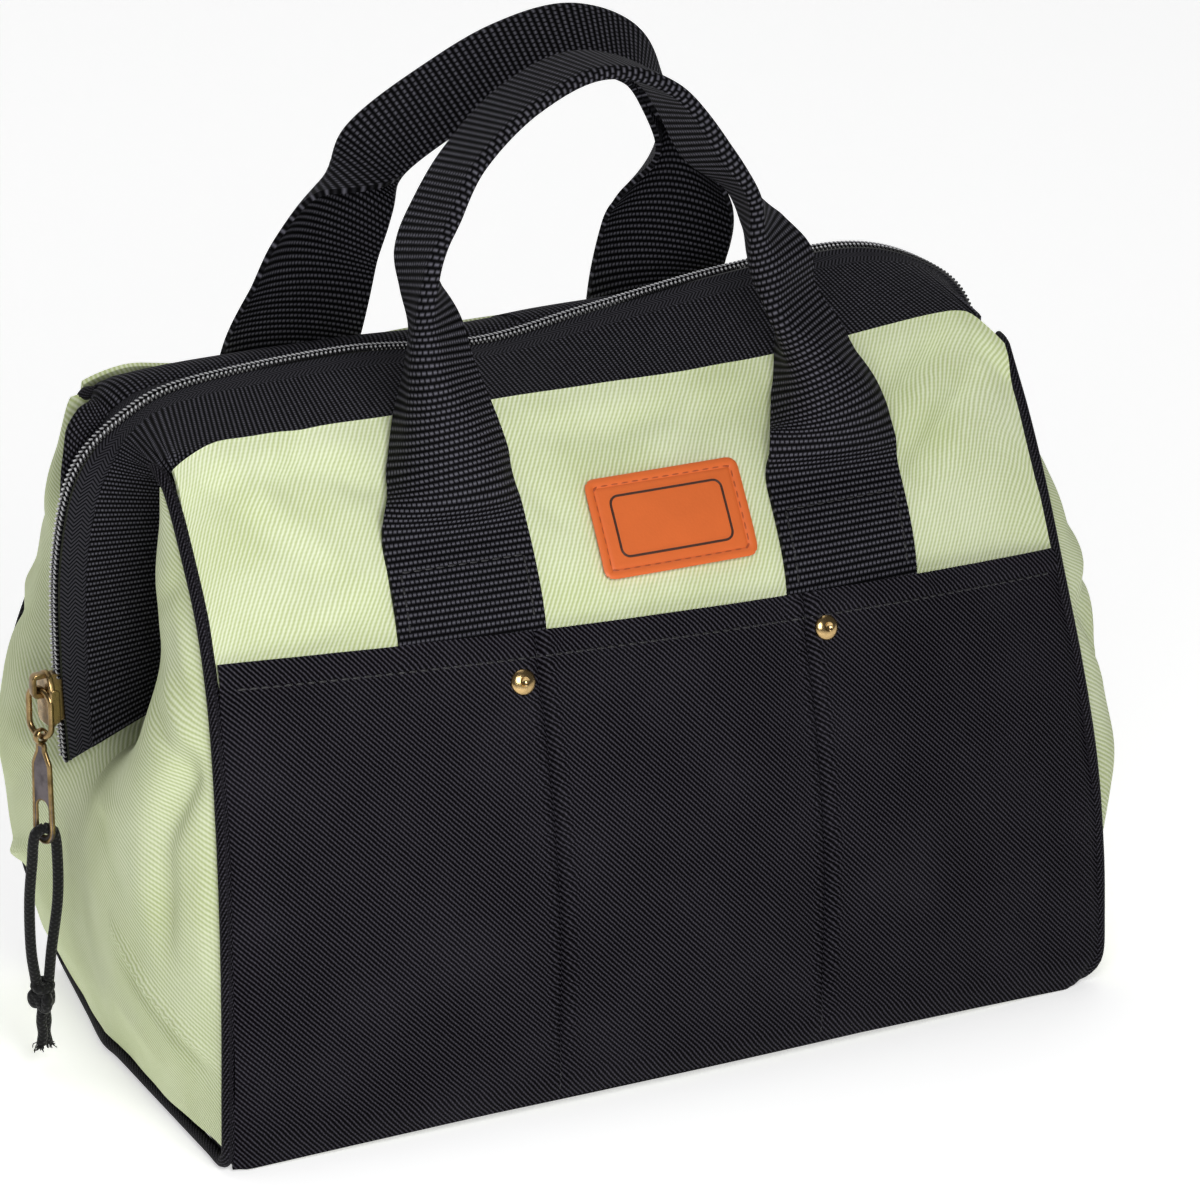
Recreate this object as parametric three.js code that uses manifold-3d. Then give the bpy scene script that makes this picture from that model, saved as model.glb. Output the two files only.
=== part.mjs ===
// Wide-mouth electrician tool bag with a zip top, two webbing handles and a three-part front pocket.
// Millimetres, +Z up, front towards -Y, origin on the floor under the middle of the base.
import * as THREE from "three";
import { mergeVertices } from "three/addons/utils/BufferGeometryUtils.js";
import Module from "manifold-3d";

const wasm = await Module();
wasm.setup();

// Driving sizes
const MOUTH_BACK = 14; // the zip lies this far behind the middle of the base
const PANEL_TOP = 202;
const REAR_TOP = 205;
const PANEL_CORNER = { start: 0.86, drop: 5 }; // rounding, from this share of the half length
const RIGHT_RISE = { start: 0.3, height: 5 }; // the walls rise towards the right end
const PANEL_TOP_GAP = 1.2; // below the mouth band
const FRONT_ARCH = 3.5; // rise of the front bottom edge in the middle
const EDGE_LIFT = 1; // cloth edges stop this far above the floor
const WALL = 1.4; // cloth
const WEBBING = 1.7;
const TAPE = 1.0;
const CLEAR = 0.5; // gap between neighbouring pieces
const PIPING_RADIUS = 2;
const PIPING_LIFT = 0.4; // above the floor
const BASE_INSET = 4;
const BASE_THICKNESS = 2.4;
const SEAM_INSET = 3.3; // from a piping axis to a cloth edge
const POCKET_TOP = 146;
const POCKET_TILT = 4; // the pocket top falls this much towards the right
const POCKET_SEAM_X = 45.4;
const POCKET_PUFF = 1.6;
const STRAP_X = 64.5;
const STRAP_WIDTH = 46.6;
const STRAP_SEWN_TO = 172;
const STRAP_FOOT_GAP = 2.4; // from the pocket's top edge to the end of the strap
const STRAP_LEAN = 0.14; // the front straps lean this much to the right for each millimetre up
const FOLD_RADIUS = 1.35;
const STRAP_ROLLED_TO = (40 * Math.PI) / 180; // up to this fold the strap's section is one curve
const STRAP_CREASED_OVER = (45 * Math.PI) / 180; // and over this much more of it becomes a crease
const ZIP_HALF_WIDTH = 3.3;
const ZIP_THICKNESS = 3;
const TAPE_WIDTH = 8;
const SLIDER_Z = 120.5;
const SLIDER_LENGTH = 17;
const SLIDER_WIDTH = 11;
const SLIDER_PLATE = 1.9;
const SLIDER_CORE = 2.4; // half width between the two rows of teeth
const SLIDER_WING = 0.8;
const SLIDER_WING_X = -161.4; // the side flanges end here
const SLIDER_BACK_X = -157.2;
const SLIDER_GAP = 0.6; // to the coil above and the zip's end below
const SLIDER_STEP = 0.5; // the core stops this far inside the plate
const BRIDGE = 1.5; // bar that holds the ring
const PULL_X = -168; // plane in which the ring, the tab and the cord hang
const RING_TOP_Z = 123.5;
const RING_HEIGHT = 15.2;
const RING_HALF_WIDTH = 5.2;
const RING_WIRE = 0.95;
const RING_PLAY = 0.35;
const RING_BEND = 3.4;
const TAB_BOTTOM_Z = 73.7;
const TAB_HALF_WIDTH = 4.1;
const TAB_THICKNESS = 2.2;
const TAB_NECK = 1.4; // half width at the ring
const TAB_SHOULDER = 3.3; // half width below the neck
const TAB_NECK_DROP = { top: 1.6, foot: 5, shoulder: 9 }; // below the eye
const TAB_EYE = 2.5;
const TAB_HOLE = { radius: 2.45, low: TAB_BOTTOM_Z + 5, high: TAB_BOTTOM_Z + 10.2 };
const CORD_RADIUS = 1.7;
const KNOT_X = -2.4; // from the pull plane
const KNOT_Z = 22.8;
const KNOT_RADIUS = 4.8;
const TAIL_END_Z = 5;
const TAIL_LEAN = 7; // degrees
const PATCH = { x: 9.3, z: 168.8, width: 52, height: 31, corner: 3, thickness: 1.5, slope: 0.78 };
const RIVET = { x: 51.4, z: 134, radius: 4, height: 2.2 };

// Front and rear walls by height: half length and what the right end adds to it,
// distance from the zip plane, and bow of the middle
const FRONT_ROWS = [
  { z: 0, half: 152, right: -9, depth: 94, bow: 3 },
  { z: 5, half: 152, right: -4, depth: 95.2, bow: 4 },
  { z: 12, half: 152, right: -1, depth: 96, bow: 5 },
  { z: 75, half: 149, right: 0, depth: 91.5, bow: 10 },
  { z: 146.5, half: 144.5, right: -2.5, depth: 75, bow: 9.5 },
  { z: 180, half: 142.5, right: 1.5, depth: 54, bow: 5 },
  { z: 208, half: 141.5, right: 5, depth: 30.3, bow: 1 },
];
const REAR_ROWS = [
  { z: 0, half: 134, right: 0, depth: 68, bow: 2 },
  { z: 20, half: 140.5, right: 0, depth: 71.5, bow: 4 },
  { z: 47, half: 146, right: 0, depth: 75, bow: 8 },
  { z: 100, half: 146, right: 0, depth: 78, bow: 10 },
  { z: 150, half: 135, right: 0, depth: 66, bow: 8 },
  { z: 185, half: 136, right: 0, depth: 45, bow: 3 },
  { z: 211, half: 140, right: -2, depth: 25.5, bow: 1 },
];

// Half of a gusset from its seam (height seam) to its middle (x, y, z), with outward bulge near each,
// the share of that bulge in the rear half, and of the bulge by the front seam at the right end
const GUSSET_ROWS = [
  { seam: 7.6, bulge: 1, inner: 1, rear: 0.8, right: 1, x: 147.5, y: 5, z: 5.4 },
  { seam: 35, bulge: 6, inner: 4, rear: 0.8, right: 2, x: 155, y: 5, z: 33 },
  { seam: 65, bulge: 10, inner: 3, rear: 0.9, right: 2.75, x: 158.5, y: 5, z: 60 },
  { seam: 92, bulge: 13, inner: 4, rear: 1, right: 2.25, x: 157, y: 5, z: 84 },
  { seam: 112, bulge: 14, inner: 10, rear: 1.05, right: 2.1, x: 146, y: 5.5, z: 99 },
  { seam: 130, bulge: 15, inner: 18, rear: 1.1, right: 2, x: 126, y: 11, z: 113 },
  { seam: 150, bulge: 10.5, inner: 13, rear: 1.6, right: 2.4, x: 122, y: 11, z: 136 },
  { seam: 170, bulge: 9, inner: 12, rear: 1.75, right: 1.9, x: 123.5, y: 12.5, z: 162 },
  { seam: 186, bulge: 4.5, inner: 4, rear: 3.4, right: 1.8, x: 130.5, y: 21, z: 183 },
  { seam: 195, bulge: 1.5, inner: 1, rear: 4, right: 1, x: 138.5, y: 35, z: 192 },
];
const BULGE_PULL = 1.6; // how far a section's control points go out for each millimetre of bulge
const INNER_PULL = 1.2;
const NOTCH_ROW = 5; // above this row the gusset is open in the middle for the end of the mouth
const REAR_LIFT = 5; // the rear half reaches this much higher at its top row

// The rear edge of the mouth lies nearer, narrower and higher than the front one
const REAR_MOUTH = { start: 8, span: 27, narrow: 5, near: 5.4, high: 2.5 };

// Mouth from the left end to the right end: zip line, and the lower edge of the front band
const MOUTH_ROWS = [
  { zipX: -160, zipZ: 100, x: -124, y: 8, z: 118 },
  { zipX: -161.5, zipZ: 130, x: -122.5, y: 8, z: 136 },
  { zipX: -160.5, zipZ: 164, x: -124, y: 9.5, z: 165 },
  { zipX: -153.5, zipZ: 190, x: -131, y: 18, z: 188 },
  { zipX: -137, zipZ: 204.5, x: -140, y: 33.5, z: 200.5 },
  { zipX: -116, zipZ: 211.5, x: -126, y: 35, z: 203.2 },
  { zipX: -65, zipZ: 214.2, x: -65, y: 36, z: 202.6 },
  { zipX: -20, zipZ: 210.9, x: -20, y: 36.4, z: 202.6 },
  { zipX: 20, zipZ: 216.2, x: 20, y: 36.4, z: 202.6 },
  { zipX: 65, zipZ: 222.2, x: 65, y: 35.6, z: 203.5 },
  { zipX: 110, zipZ: 224.5, x: 126, y: 32.5, z: 207 },
  { zipX: 138, zipZ: 216, x: 140, y: 31, z: 205.5 },
  { zipX: 155, zipZ: 200, x: 133, y: 18, z: 191 },
  { zipX: 161, zipZ: 168, x: 124, y: 9.5, z: 165 },
  { zipX: 161.5, zipZ: 131, x: 122.5, y: 8, z: 136 },
  { zipX: 160, zipZ: 100, x: 124, y: 8, z: 118 },
];

// Free part of each handle: middle of the strap, fold of its two halves and roll, in degrees
const FRONT_HANDLE_ROWS = [
  { x: -60.6, y: -66.5, z: 186, fold: 47, roll: -4 },
  { x: -61.5, y: -62.6, z: 198, fold: 57, roll: -20 },
  { x: -62.6, y: -59, z: 210, fold: 64, roll: -32 },
  { x: -63.1, y: -56.2, z: 222, fold: 71, roll: -39 },
  { x: -62.5, y: -53.4, z: 234, fold: 76, roll: -37 },
  { x: -62.6, y: -50.9, z: 246, fold: 80, roll: -20 },
  { x: -61.4, y: -48.4, z: 257, fold: 83, roll: -4 },
  { x: -56.8, y: -46, z: 267, fold: 90, roll: 4 },
  { x: -45.3, y: -43, z: 282, fold: 90, roll: -2 },
  { x: -25, y: -40, z: 297, fold: 90, roll: 0 },
  { x: -1, y: -38, z: 304, fold: 90, roll: 0 },
  { x: 22, y: -39.5, z: 296, fold: 88, roll: 0 },
  { x: 37.4, y: -44, z: 275.5, fold: 80, roll: 0 },
  { x: 47, y: -46.8, z: 262, fold: 87, roll: 10 },
  { x: 50.9, y: -49.4, z: 250, fold: 80, roll: 31 },
  { x: 53.9, y: -52, z: 239, fold: 73, roll: 44 },
  { x: 57.2, y: -54.6, z: 228, fold: 80, roll: 49 },
  { x: 61.3, y: -57.5, z: 216, fold: 72, roll: 36 },
  { x: 65.2, y: -61.6, z: 205, fold: 65, roll: 15 },
  { x: 68.4, y: -65.5, z: 194, fold: 50, roll: -2 },
  { x: 68.6, y: -67, z: 184, fold: 25, roll: -3 },
];
const REAR_HANDLE_ROWS = [
  { x: -63.5, y: 54, z: 187, fold: 8, roll: 0 },
  { x: -62.5, y: 46, z: 205, fold: 19, roll: 0 },
  { x: -59.3, y: 40, z: 222, fold: 24, roll: 9 },
  { x: -55.5, y: 37.5, z: 237, fold: 41, roll: 14 },
  { x: -47.5, y: 35, z: 253, fold: 53, roll: 26 },
  { x: -37, y: 31.5, z: 268, fold: 88, roll: 60 },
  { x: -16, y: 28, z: 282, fold: 90, roll: 60 },
  { x: 5, y: 26, z: 292, fold: 90, roll: 58 },
  { x: 27, y: 25, z: 296, fold: 90, roll: 52 },
  { x: 47, y: 27, z: 289, fold: 90, roll: 45 },
  { x: 57, y: 29.5, z: 275, fold: 90, roll: 38 },
  { x: 66, y: 33, z: 257, fold: 77, roll: 24 },
  { x: 67.3, y: 37, z: 237, fold: 53, roll: 18 },
  { x: 64.6, y: 43, z: 210, fold: 17, roll: 4 },
  { x: 66, y: 53, z: 187, fold: 5, roll: 0 },
];

// Colours
const GREEN = { color: 0xcfdca2, roughness: 0.85, metalness: 0 };
const BLACK = { color: 0x1d1c21, roughness: 0.9, metalness: 0 };
const BRASS = { color: 0x8a6f45, roughness: 0.4, metalness: 1 };
const ORANGE = { color: 0xe8843f, roughness: 0.6, metalness: 0 };

// Tables and curves
const point = (x, y, z) => new THREE.Vector3(x, y, z);
const clamp01 = (t) => Math.min(1, Math.max(0, t));
const smooth = (t) => clamp01(t) ** 2 * (3 - 2 * clamp01(t));

// Smooth value of every column at key = at
function rowAt(rows, key, at) {
  const last = rows.length - 1;
  let i = 0;
  while (i < last - 1 && rows[i + 1][key] < at) i += 1;
  const slope = (k, column) => {
    const a = rows[Math.max(k - 1, 0)];
    const b = rows[Math.min(k + 1, last)];
    return (b[column] - a[column]) / (b[key] - a[key]);
  };
  const step = rows[i + 1][key] - rows[i][key];
  const t = clamp01((at - rows[i][key]) / step);
  const out = {};
  for (const column of Object.keys(rows[0])) {
    const a = rows[i][column];
    const b = rows[i + 1][column];
    const ma = slope(i, column) * step;
    const mb = slope(i + 1, column) * step;
    const bend = (2 * t ** 3 - 3 * t ** 2) * (a - b);
    out[column] = a + bend + (t ** 3 - 2 * t ** 2 + t) * ma + (t ** 3 - t ** 2) * mb;
  }
  return out;
}

const numbered = (rows) => rows.map((row, order) => ({ order, ...row }));

// Row of the front (side -1) or rear (side +1) wall at a height, with its half length at one end
function wallRow(side, end, z) {
  const row = rowAt(side < 0 ? FRONT_ROWS : REAR_ROWS, "z", z);
  row.half += end > 0 ? row.right : 0;
  return row;
}

// Point on a wall, moved outwards along its normal
function wallPoint(side, x, z, outwards) {
  const at = (px, pz) => {
    const row = wallRow(side, px, pz);
    const s = Math.max(-1, Math.min(1, px / row.half));
    return point(px, side * (row.depth + row.bow * (1 - s * s)), pz);
  };
  const across = at(x + 0.5, z).sub(at(x - 0.5, z));
  const up = at(x, z + 0.5).sub(at(x, z - 0.5));
  const normal = across.cross(up).normalize().multiplyScalar(-side * outwards);
  return at(x, z).add(normal);
}

// Solids from a grid of points: every cell gets an outer and an inner face, and open edges are closed
function sheet(columns, rows, at, thickness, present = () => true) {
  const grid = [];
  for (let j = 0; j <= rows; j += 1) {
    for (let i = 0; i <= columns; i += 1) grid.push(at(i / columns, j / rows));
  }
  const index = (i, j) => j * (columns + 1) + i;
  const cell = (i, j) => i >= 0 && j >= 0 && i < columns && j < rows && present(i, j);
  const count = grid.length;
  const outer = [];
  const inner = [];
  for (let j = 0; j <= rows; j += 1) {
    for (let i = 0; i <= columns; i += 1) {
      const left = cell(i - 1, j) || cell(i - 1, j - 1) ? i - 1 : i;
      const right = cell(i, j) || cell(i, j - 1) ? i + 1 : i;
      const below = cell(i, j - 1) || cell(i - 1, j - 1) ? j - 1 : j;
      const above = cell(i, j) || cell(i - 1, j) ? j + 1 : j;
      const p = grid[index(i, j)];
      if (left === right || below === above) {
        outer.push(p.clone());
        inner.push(p.clone());
        continue;
      }
      const du = grid[index(right, j)].clone().sub(grid[index(left, j)]);
      const dv = grid[index(i, above)].clone().sub(grid[index(i, below)]);
      const half = du.cross(dv).normalize().multiplyScalar(thickness / 2);
      outer.push(p.clone().add(half));
      inner.push(p.clone().sub(half));
    }
  }
  const faces = [];
  for (let j = 0; j < rows; j += 1) {
    for (let i = 0; i < columns; i += 1) {
      if (!cell(i, j)) continue;
      const ring = [index(i, j), index(i + 1, j), index(i + 1, j + 1), index(i, j + 1)];
      const [a, b, c, d] = ring;
      faces.push(a, b, c, a, c, d);
      faces.push(count + a, count + c, count + b, count + a, count + d, count + c);
      const beside = [cell(i, j - 1), cell(i + 1, j), cell(i, j + 1), cell(i - 1, j)];
      beside.forEach((has, k) => {
        if (has) return;
        const p = ring[k];
        const q = ring[(k + 1) % 4];
        faces.push(q, p, count + p, q, count + p, count + q);
      });
    }
  }
  return fromPoints([...outer, ...inner], faces);
}

function fromPoints(points, faces) {
  const used = new Map();
  const kept = [];
  const renumbered = faces.map((old) => {
    if (!used.has(old)) {
      used.set(old, kept.length);
      kept.push(points[old]);
    }
    return used.get(old);
  });
  const geometry = new THREE.BufferGeometry().setFromPoints(kept);
  geometry.setIndex(renumbered);
  return geometry;
}

// Closed geometry as a solid that can be joined and cut, and back
function solid(geometry) {
  const bare = new THREE.BufferGeometry();
  bare.setAttribute("position", geometry.getAttribute("position"));
  bare.setIndex(geometry.getIndex());
  const merged = mergeVertices(bare, 1e-4);
  const vertProperties = merged.getAttribute("position").array;
  const triVerts = new Uint32Array(merged.getIndex().array);
  return new wasm.Manifold(new wasm.Mesh({ numProp: 3, vertProperties, triVerts }));
}

function fromSolid(joined) {
  const mesh = joined.getMesh();
  const geometry = new THREE.BufferGeometry();
  const positions = new THREE.Float32BufferAttribute(mesh.vertProperties, 3);
  geometry.setAttribute("position", positions);
  geometry.setIndex(Array.from(mesh.triVerts));
  return geometry;
}

function tube(points, radius, steps, sides) {
  const circle = new THREE.Shape();
  for (let k = 0; k < sides; k += 1) {
    const angle = (2 * Math.PI * k) / sides;
    const at = [radius * Math.cos(angle), radius * Math.sin(angle)];
    if (k === 0) circle.moveTo(...at);
    else circle.lineTo(...at);
  }
  circle.closePath();
  const extrudePath = new THREE.CatmullRomCurve3(points, false, "centripetal");
  return new THREE.ExtrudeGeometry(circle, { steps, extrudePath, bevelEnabled: false });
}

const group = new THREE.Group();
group.name = "electrician_tool_bag";

function add(name, geometry, look) {
  geometry.translate(0, MOUTH_BACK, 0);
  geometry.computeVertexNormals();
  const mesh = new THREE.Mesh(geometry, new THREE.MeshStandardMaterial(look));
  mesh.name = name;
  group.add(mesh);
}

// Walls and pockets
const bottomEdge = (side, s) => EDGE_LIFT + (side < 0 ? FRONT_ARCH * (1 - s * s) : 0);

function wall(side, columns, rows) {
  return sheet(columns, rows, (u, v) => {
    const s = 2 * u - 1;
    const turned = clamp01((Math.abs(s) - PANEL_CORNER.start) / (1 - PANEL_CORNER.start));
    const risen = smooth((s - RIGHT_RISE.start) / (1 - RIGHT_RISE.start));
    const change = RIGHT_RISE.height * risen - PANEL_CORNER.drop * turned ** 2;
    const low = bottomEdge(side, s);
    const top = (side < 0 ? PANEL_TOP : REAR_TOP) + change - PANEL_TOP_GAP;
    const z = low + (top - low) * v;
    return wallPoint(side, s * (wallRow(side, s, z).half - SEAM_INSET), z, 0);
  }, WALL);
}

const pocketTop = (s) => POCKET_TOP - POCKET_TILT * s;

// Bulge of the pocket between its seams: none at a seam or a side
function puff(x, half) {
  const edges = [-half, -POCKET_SEAM_X, POCKET_SEAM_X, half];
  const k = edges.findIndex((edge, i) => i === 2 || x < edges[i + 1]);
  const t = clamp01((x - edges[k]) / (edges[k + 1] - edges[k]));
  return POCKET_PUFF * (1 - (2 * t - 1) ** 4);
}

function pocket(side, columns, rows) {
  return sheet(columns, rows, (u, v) => {
    const s = 2 * u - 1;
    const low = bottomEdge(side, s);
    const z = low + (pocketTop(s) - low) * v;
    const half = wallRow(side, s, z).half - SEAM_INSET;
    const bulge = side < 0 ? puff(s * half, half) : 0;
    const fade = Math.min(1, v * 6);
    return wallPoint(side, s * half, z, WALL + CLEAR + bulge * fade);
  }, WALL);
}

add("front_panel", wall(-1, 18, 11), GREEN);
add("rear_panel", wall(1, 14, 10), GREEN);
add("front_pocket", pocket(-1, 22, 8), BLACK);
add("rear_pocket", pocket(1, 14, 7), BLACK);

// Gussets: bezier sections from each seam to the middle
function seamPoint(end, side, z) {
  const row = wallRow(side, end, z);
  return point(end * row.half, side * row.depth, z);
}

// A point by the mouth, moved as the rear edge lies
function rearward(side, p) {
  if (side < 0) return p;
  const share = clamp01((Math.abs(p.y) - REAR_MOUTH.start) / REAR_MOUTH.span);
  p.x -= Math.sign(p.x) * REAR_MOUTH.narrow * share;
  p.y -= Math.sign(p.y) * REAR_MOUTH.near * share;
  p.z += REAR_MOUTH.high * share;
  return p;
}

function gussetPoint(end, side, order, t) {
  const row = rowAt(numbered(GUSSET_ROWS), "order", order);
  const lift = side > 0 ? REAR_LIFT * smooth(order - GUSSET_ROWS.length + 2) : 0;
  const a = seamPoint(end, side, row.seam + lift);
  a.y -= side * SEAM_INSET;
  const d = rearward(side, point(end * row.x, side * row.y, row.z + lift));
  const b = a.clone().lerp(d, 1 / 3);
  const c = a.clone().lerp(d, 2 / 3);
  const share = side > 0 ? row.rear : 1;
  const right = side < 0 && end > 0 ? row.right : 1;
  b.x += end * row.bulge * BULGE_PULL * share * right;
  c.x += end * row.inner * INNER_PULL * share;
  return new THREE.CubicBezierCurve3(a, b, c, d).getPoint(t);
}

const GUSSET_HALF = 6; // grid columns in each half
const GUSSET_STEPS = 2; // grid rows per table row

function gusset(end) {
  const columns = 2 * GUSSET_HALF + 1;
  const rows = (GUSSET_ROWS.length - 1) * GUSSET_STEPS;
  const at = (u, v) => {
    const i = Math.round(u * columns);
    const order = v * (GUSSET_ROWS.length - 1);
    if (i <= GUSSET_HALF) return gussetPoint(end, -1, order, i / GUSSET_HALF);
    return gussetPoint(end, 1, order, (columns - i) / GUSSET_HALF);
  };
  const present = (i, j) => i !== GUSSET_HALF || j < NOTCH_ROW * GUSSET_STEPS;
  return sheet(columns, rows, at, WALL, present);
}

add("gusset_left", gusset(-1), GREEN);
add("gusset_right", gusset(1), GREEN);

// Piping: down the front edge, round the foot of the gusset and up the rear edge
function footLine(end, side) {
  const a = seamPoint(end, side, PIPING_RADIUS + PIPING_LIFT);
  const d = point(end * GUSSET_ROWS[0].x, side * GUSSET_ROWS[0].y, PIPING_RADIUS + PIPING_LIFT);
  return [0.03, 0.12, 0.35, 0.65, 1].map((t) => a.clone().lerp(d, t));
}

function pipingLine(end) {
  const heights = [192.5, 180, 160, 135, 105, 75, 45, 22, 10, 6];
  const half = (side) => [
    ...heights.map((z) => seamPoint(end, side, z)),
    ...footLine(end, side),
  ];
  return [...half(-1), ...half(1).reverse()];
}

add("piping_left", tube(pipingLine(-1), PIPING_RADIUS, 48, 6), BLACK);
add("piping_right", tube(pipingLine(1), PIPING_RADIUS, 48, 6), BLACK);

// Base: flat panel inside the foot of the walls
function base() {
  const edge = (side) => [-1, -0.75, -0.5, -0.25, 0, 0.25, 0.5, 0.75, 1].map((s) => {
    const half = wallRow(side, s, 0).half - BASE_INSET;
    const p = wallPoint(side, s * half, 0, -BASE_INSET / 2);
    return new THREE.Vector2(s * half, p.y);
  });
  const middle = (end) => new THREE.Vector2(end * (GUSSET_ROWS[0].x - BASE_INSET), 0);
  const points = [...edge(-1), middle(1), ...edge(1).reverse(), middle(-1)];
  const settings = { depth: BASE_THICKNESS, bevelEnabled: false };
  return new THREE.ExtrudeGeometry(new THREE.Shape(points), settings);
}

add("base", base(), BLACK);

// Mouth: coil, tape and band along the same rows
const mouthTable = numbered(MOUTH_ROWS);
const MOUTH_STEPS = 2; // grid rows per table row
const mouthEnd = MOUTH_ROWS.length - 1;

function zipPoint(order) {
  const row = rowAt(mouthTable, "order", order);
  return point(row.zipX, 0, row.zipZ);
}

// Point on the line from the coil's edge to the band's lower edge, this far from the coil
function mouthPoint(side, order, far) {
  const row = rowAt(mouthTable, "order", order);
  const a = point(row.zipX, side * (ZIP_HALF_WIDTH + CLEAR), row.zipZ);
  const d = rearward(side, point(row.x, side * row.y, row.z));
  const long = a.distanceTo(d);
  return a.lerp(d, Math.min(far, long) / long);
}

function mouthStrip(side, from, to, across, thickness) {
  const rows = mouthEnd * MOUTH_STEPS;
  const at = (u, v) => {
    const order = v * mouthEnd;
    const long = mouthPoint(side, order, 0).distanceTo(mouthPoint(side, order, Infinity));
    return mouthPoint(side, order, THREE.MathUtils.lerp(from, Math.min(to, long), u));
  };
  return sheet(across, rows, at, thickness);
}

add("zip_tape_front", mouthStrip(-1, 0, TAPE_WIDTH, 1, TAPE), BLACK);
add("zip_tape_rear", mouthStrip(1, 0, TAPE_WIDTH, 1, TAPE), BLACK);
add("mouth_band_front", mouthStrip(-1, TAPE_WIDTH + CLEAR, Infinity, 2, WEBBING), BLACK);
add("mouth_band_rear", mouthStrip(1, TAPE_WIDTH + CLEAR, Infinity, 2, WEBBING), BLACK);

function coil(from, to, rows) {
  const at = (u, v) => {
    const p = zipPoint(from + (to - from) * v);
    p.y = (2 * u - 1) * ZIP_HALF_WIDTH;
    return p;
  };
  return sheet(2, rows, at, ZIP_THICKNESS);
}

// Place along the mouth rows where the left end of the zip reaches a height
function orderAtHeight(z) {
  let low = 0;
  let high = 2;
  for (let k = 0; k < 30; k += 1) {
    const middle = (low + high) / 2;
    if (zipPoint(middle).z < z) low = middle;
    else high = middle;
  }
  return low;
}

const aboveSlider = orderAtHeight(SLIDER_Z + SLIDER_LENGTH / 2 + SLIDER_GAP);
const belowSlider = orderAtHeight(SLIDER_Z - SLIDER_LENGTH / 2 - SLIDER_GAP);
add("zip_coil", coil(aboveSlider, mouthEnd, 36), BLACK);
add("zip_end", coil(0, belowSlider, 3), BLACK);

// Slider, ring and tab
function box(x0, x1, y0, y1, z0, z1) {
  const geometry = new THREE.BoxGeometry(x1 - x0, y1 - y0, z1 - z0);
  return solid(geometry.translate((x0 + x1) / 2, (y0 + y1) / 2, (z0 + z1) / 2));
}

const joined = (parts) => parts.reduce((whole, part) => whole.add(part));

function slider() {
  const half = SLIDER_WIDTH / 2;
  const low = SLIDER_Z - SLIDER_LENGTH / 2;
  const high = SLIDER_Z + SLIDER_LENGTH / 2;
  const reach = RING_WIRE + RING_PLAY;
  const face = PULL_X + reach;
  const bridge = PULL_X - reach;
  const foot = RING_TOP_Z - reach;
  const top = high - SLIDER_STEP;
  const parts = [
    box(face, face + SLIDER_PLATE, -half, half, low, high),
    box(face, SLIDER_BACK_X, -SLIDER_CORE, SLIDER_CORE, low + SLIDER_STEP, top),
    box(face, SLIDER_WING_X, half - SLIDER_WING, half, low, high),
    box(face, SLIDER_WING_X, -half, SLIDER_WING - half, low, high),
    box(bridge - BRIDGE, bridge, -BRIDGE, BRIDGE, foot - BRIDGE, top),
    box(bridge - BRIDGE, face + SLIDER_STEP, -BRIDGE, BRIDGE, foot - BRIDGE, foot),
    box(bridge - BRIDGE, face + SLIDER_STEP, -BRIDGE, BRIDGE, top - BRIDGE, top),
  ];
  return joined(parts);
}

function ring() {
  const low = RING_TOP_Z - RING_HEIGHT;
  const bend = RING_BEND;
  const points = [];
  const corners = [
    { y: 1, z: low + bend, start: -90 },
    { y: 1, z: RING_TOP_Z - bend, start: 0 },
    { y: -1, z: RING_TOP_Z - bend, start: 90 },
    { y: -1, z: low + bend, start: 180 },
  ];
  for (const corner of corners) {
    for (let k = 0; k <= 4; k += 1) {
      const angle = ((corner.start + 22.5 * k) * Math.PI) / 180;
      const y = corner.y * (RING_HALF_WIDTH - bend) + bend * Math.cos(angle);
      points.push([y, corner.z + bend * Math.sin(angle)]);
    }
  }
  const sides = 6;
  const vertices = [];
  const faces = [];
  points.forEach(([y, z], i) => {
    const before = points[(i + points.length - 1) % points.length];
    const after = points[(i + 1) % points.length];
    const along = point(0, after[0] - before[0], after[1] - before[1]).normalize();
    const out = point(0, along.z, -along.y);
    for (let k = 0; k < sides; k += 1) {
      const angle = (2 * Math.PI * k) / sides;
      const p = point(PULL_X + RING_WIRE * Math.sin(angle), y, z);
      vertices.push(p.addScaledVector(out, RING_WIRE * Math.cos(angle)));
      const a = i * sides + k;
      const b = i * sides + ((k + 1) % sides);
      const c = ((i + 1) % points.length) * sides + ((k + 1) % sides);
      const d = ((i + 1) % points.length) * sides + k;
      faces.push(a, d, c, a, c, b);
    }
  });
  return fromPoints(vertices, faces);
}

// Round bar along Y through the ring's lower side
function eyeBar(radius, length) {
  const bar = new THREE.CylinderGeometry(radius, radius, length, 20);
  return solid(bar.translate(PULL_X, 0, RING_TOP_Z - RING_HEIGHT));
}

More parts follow.
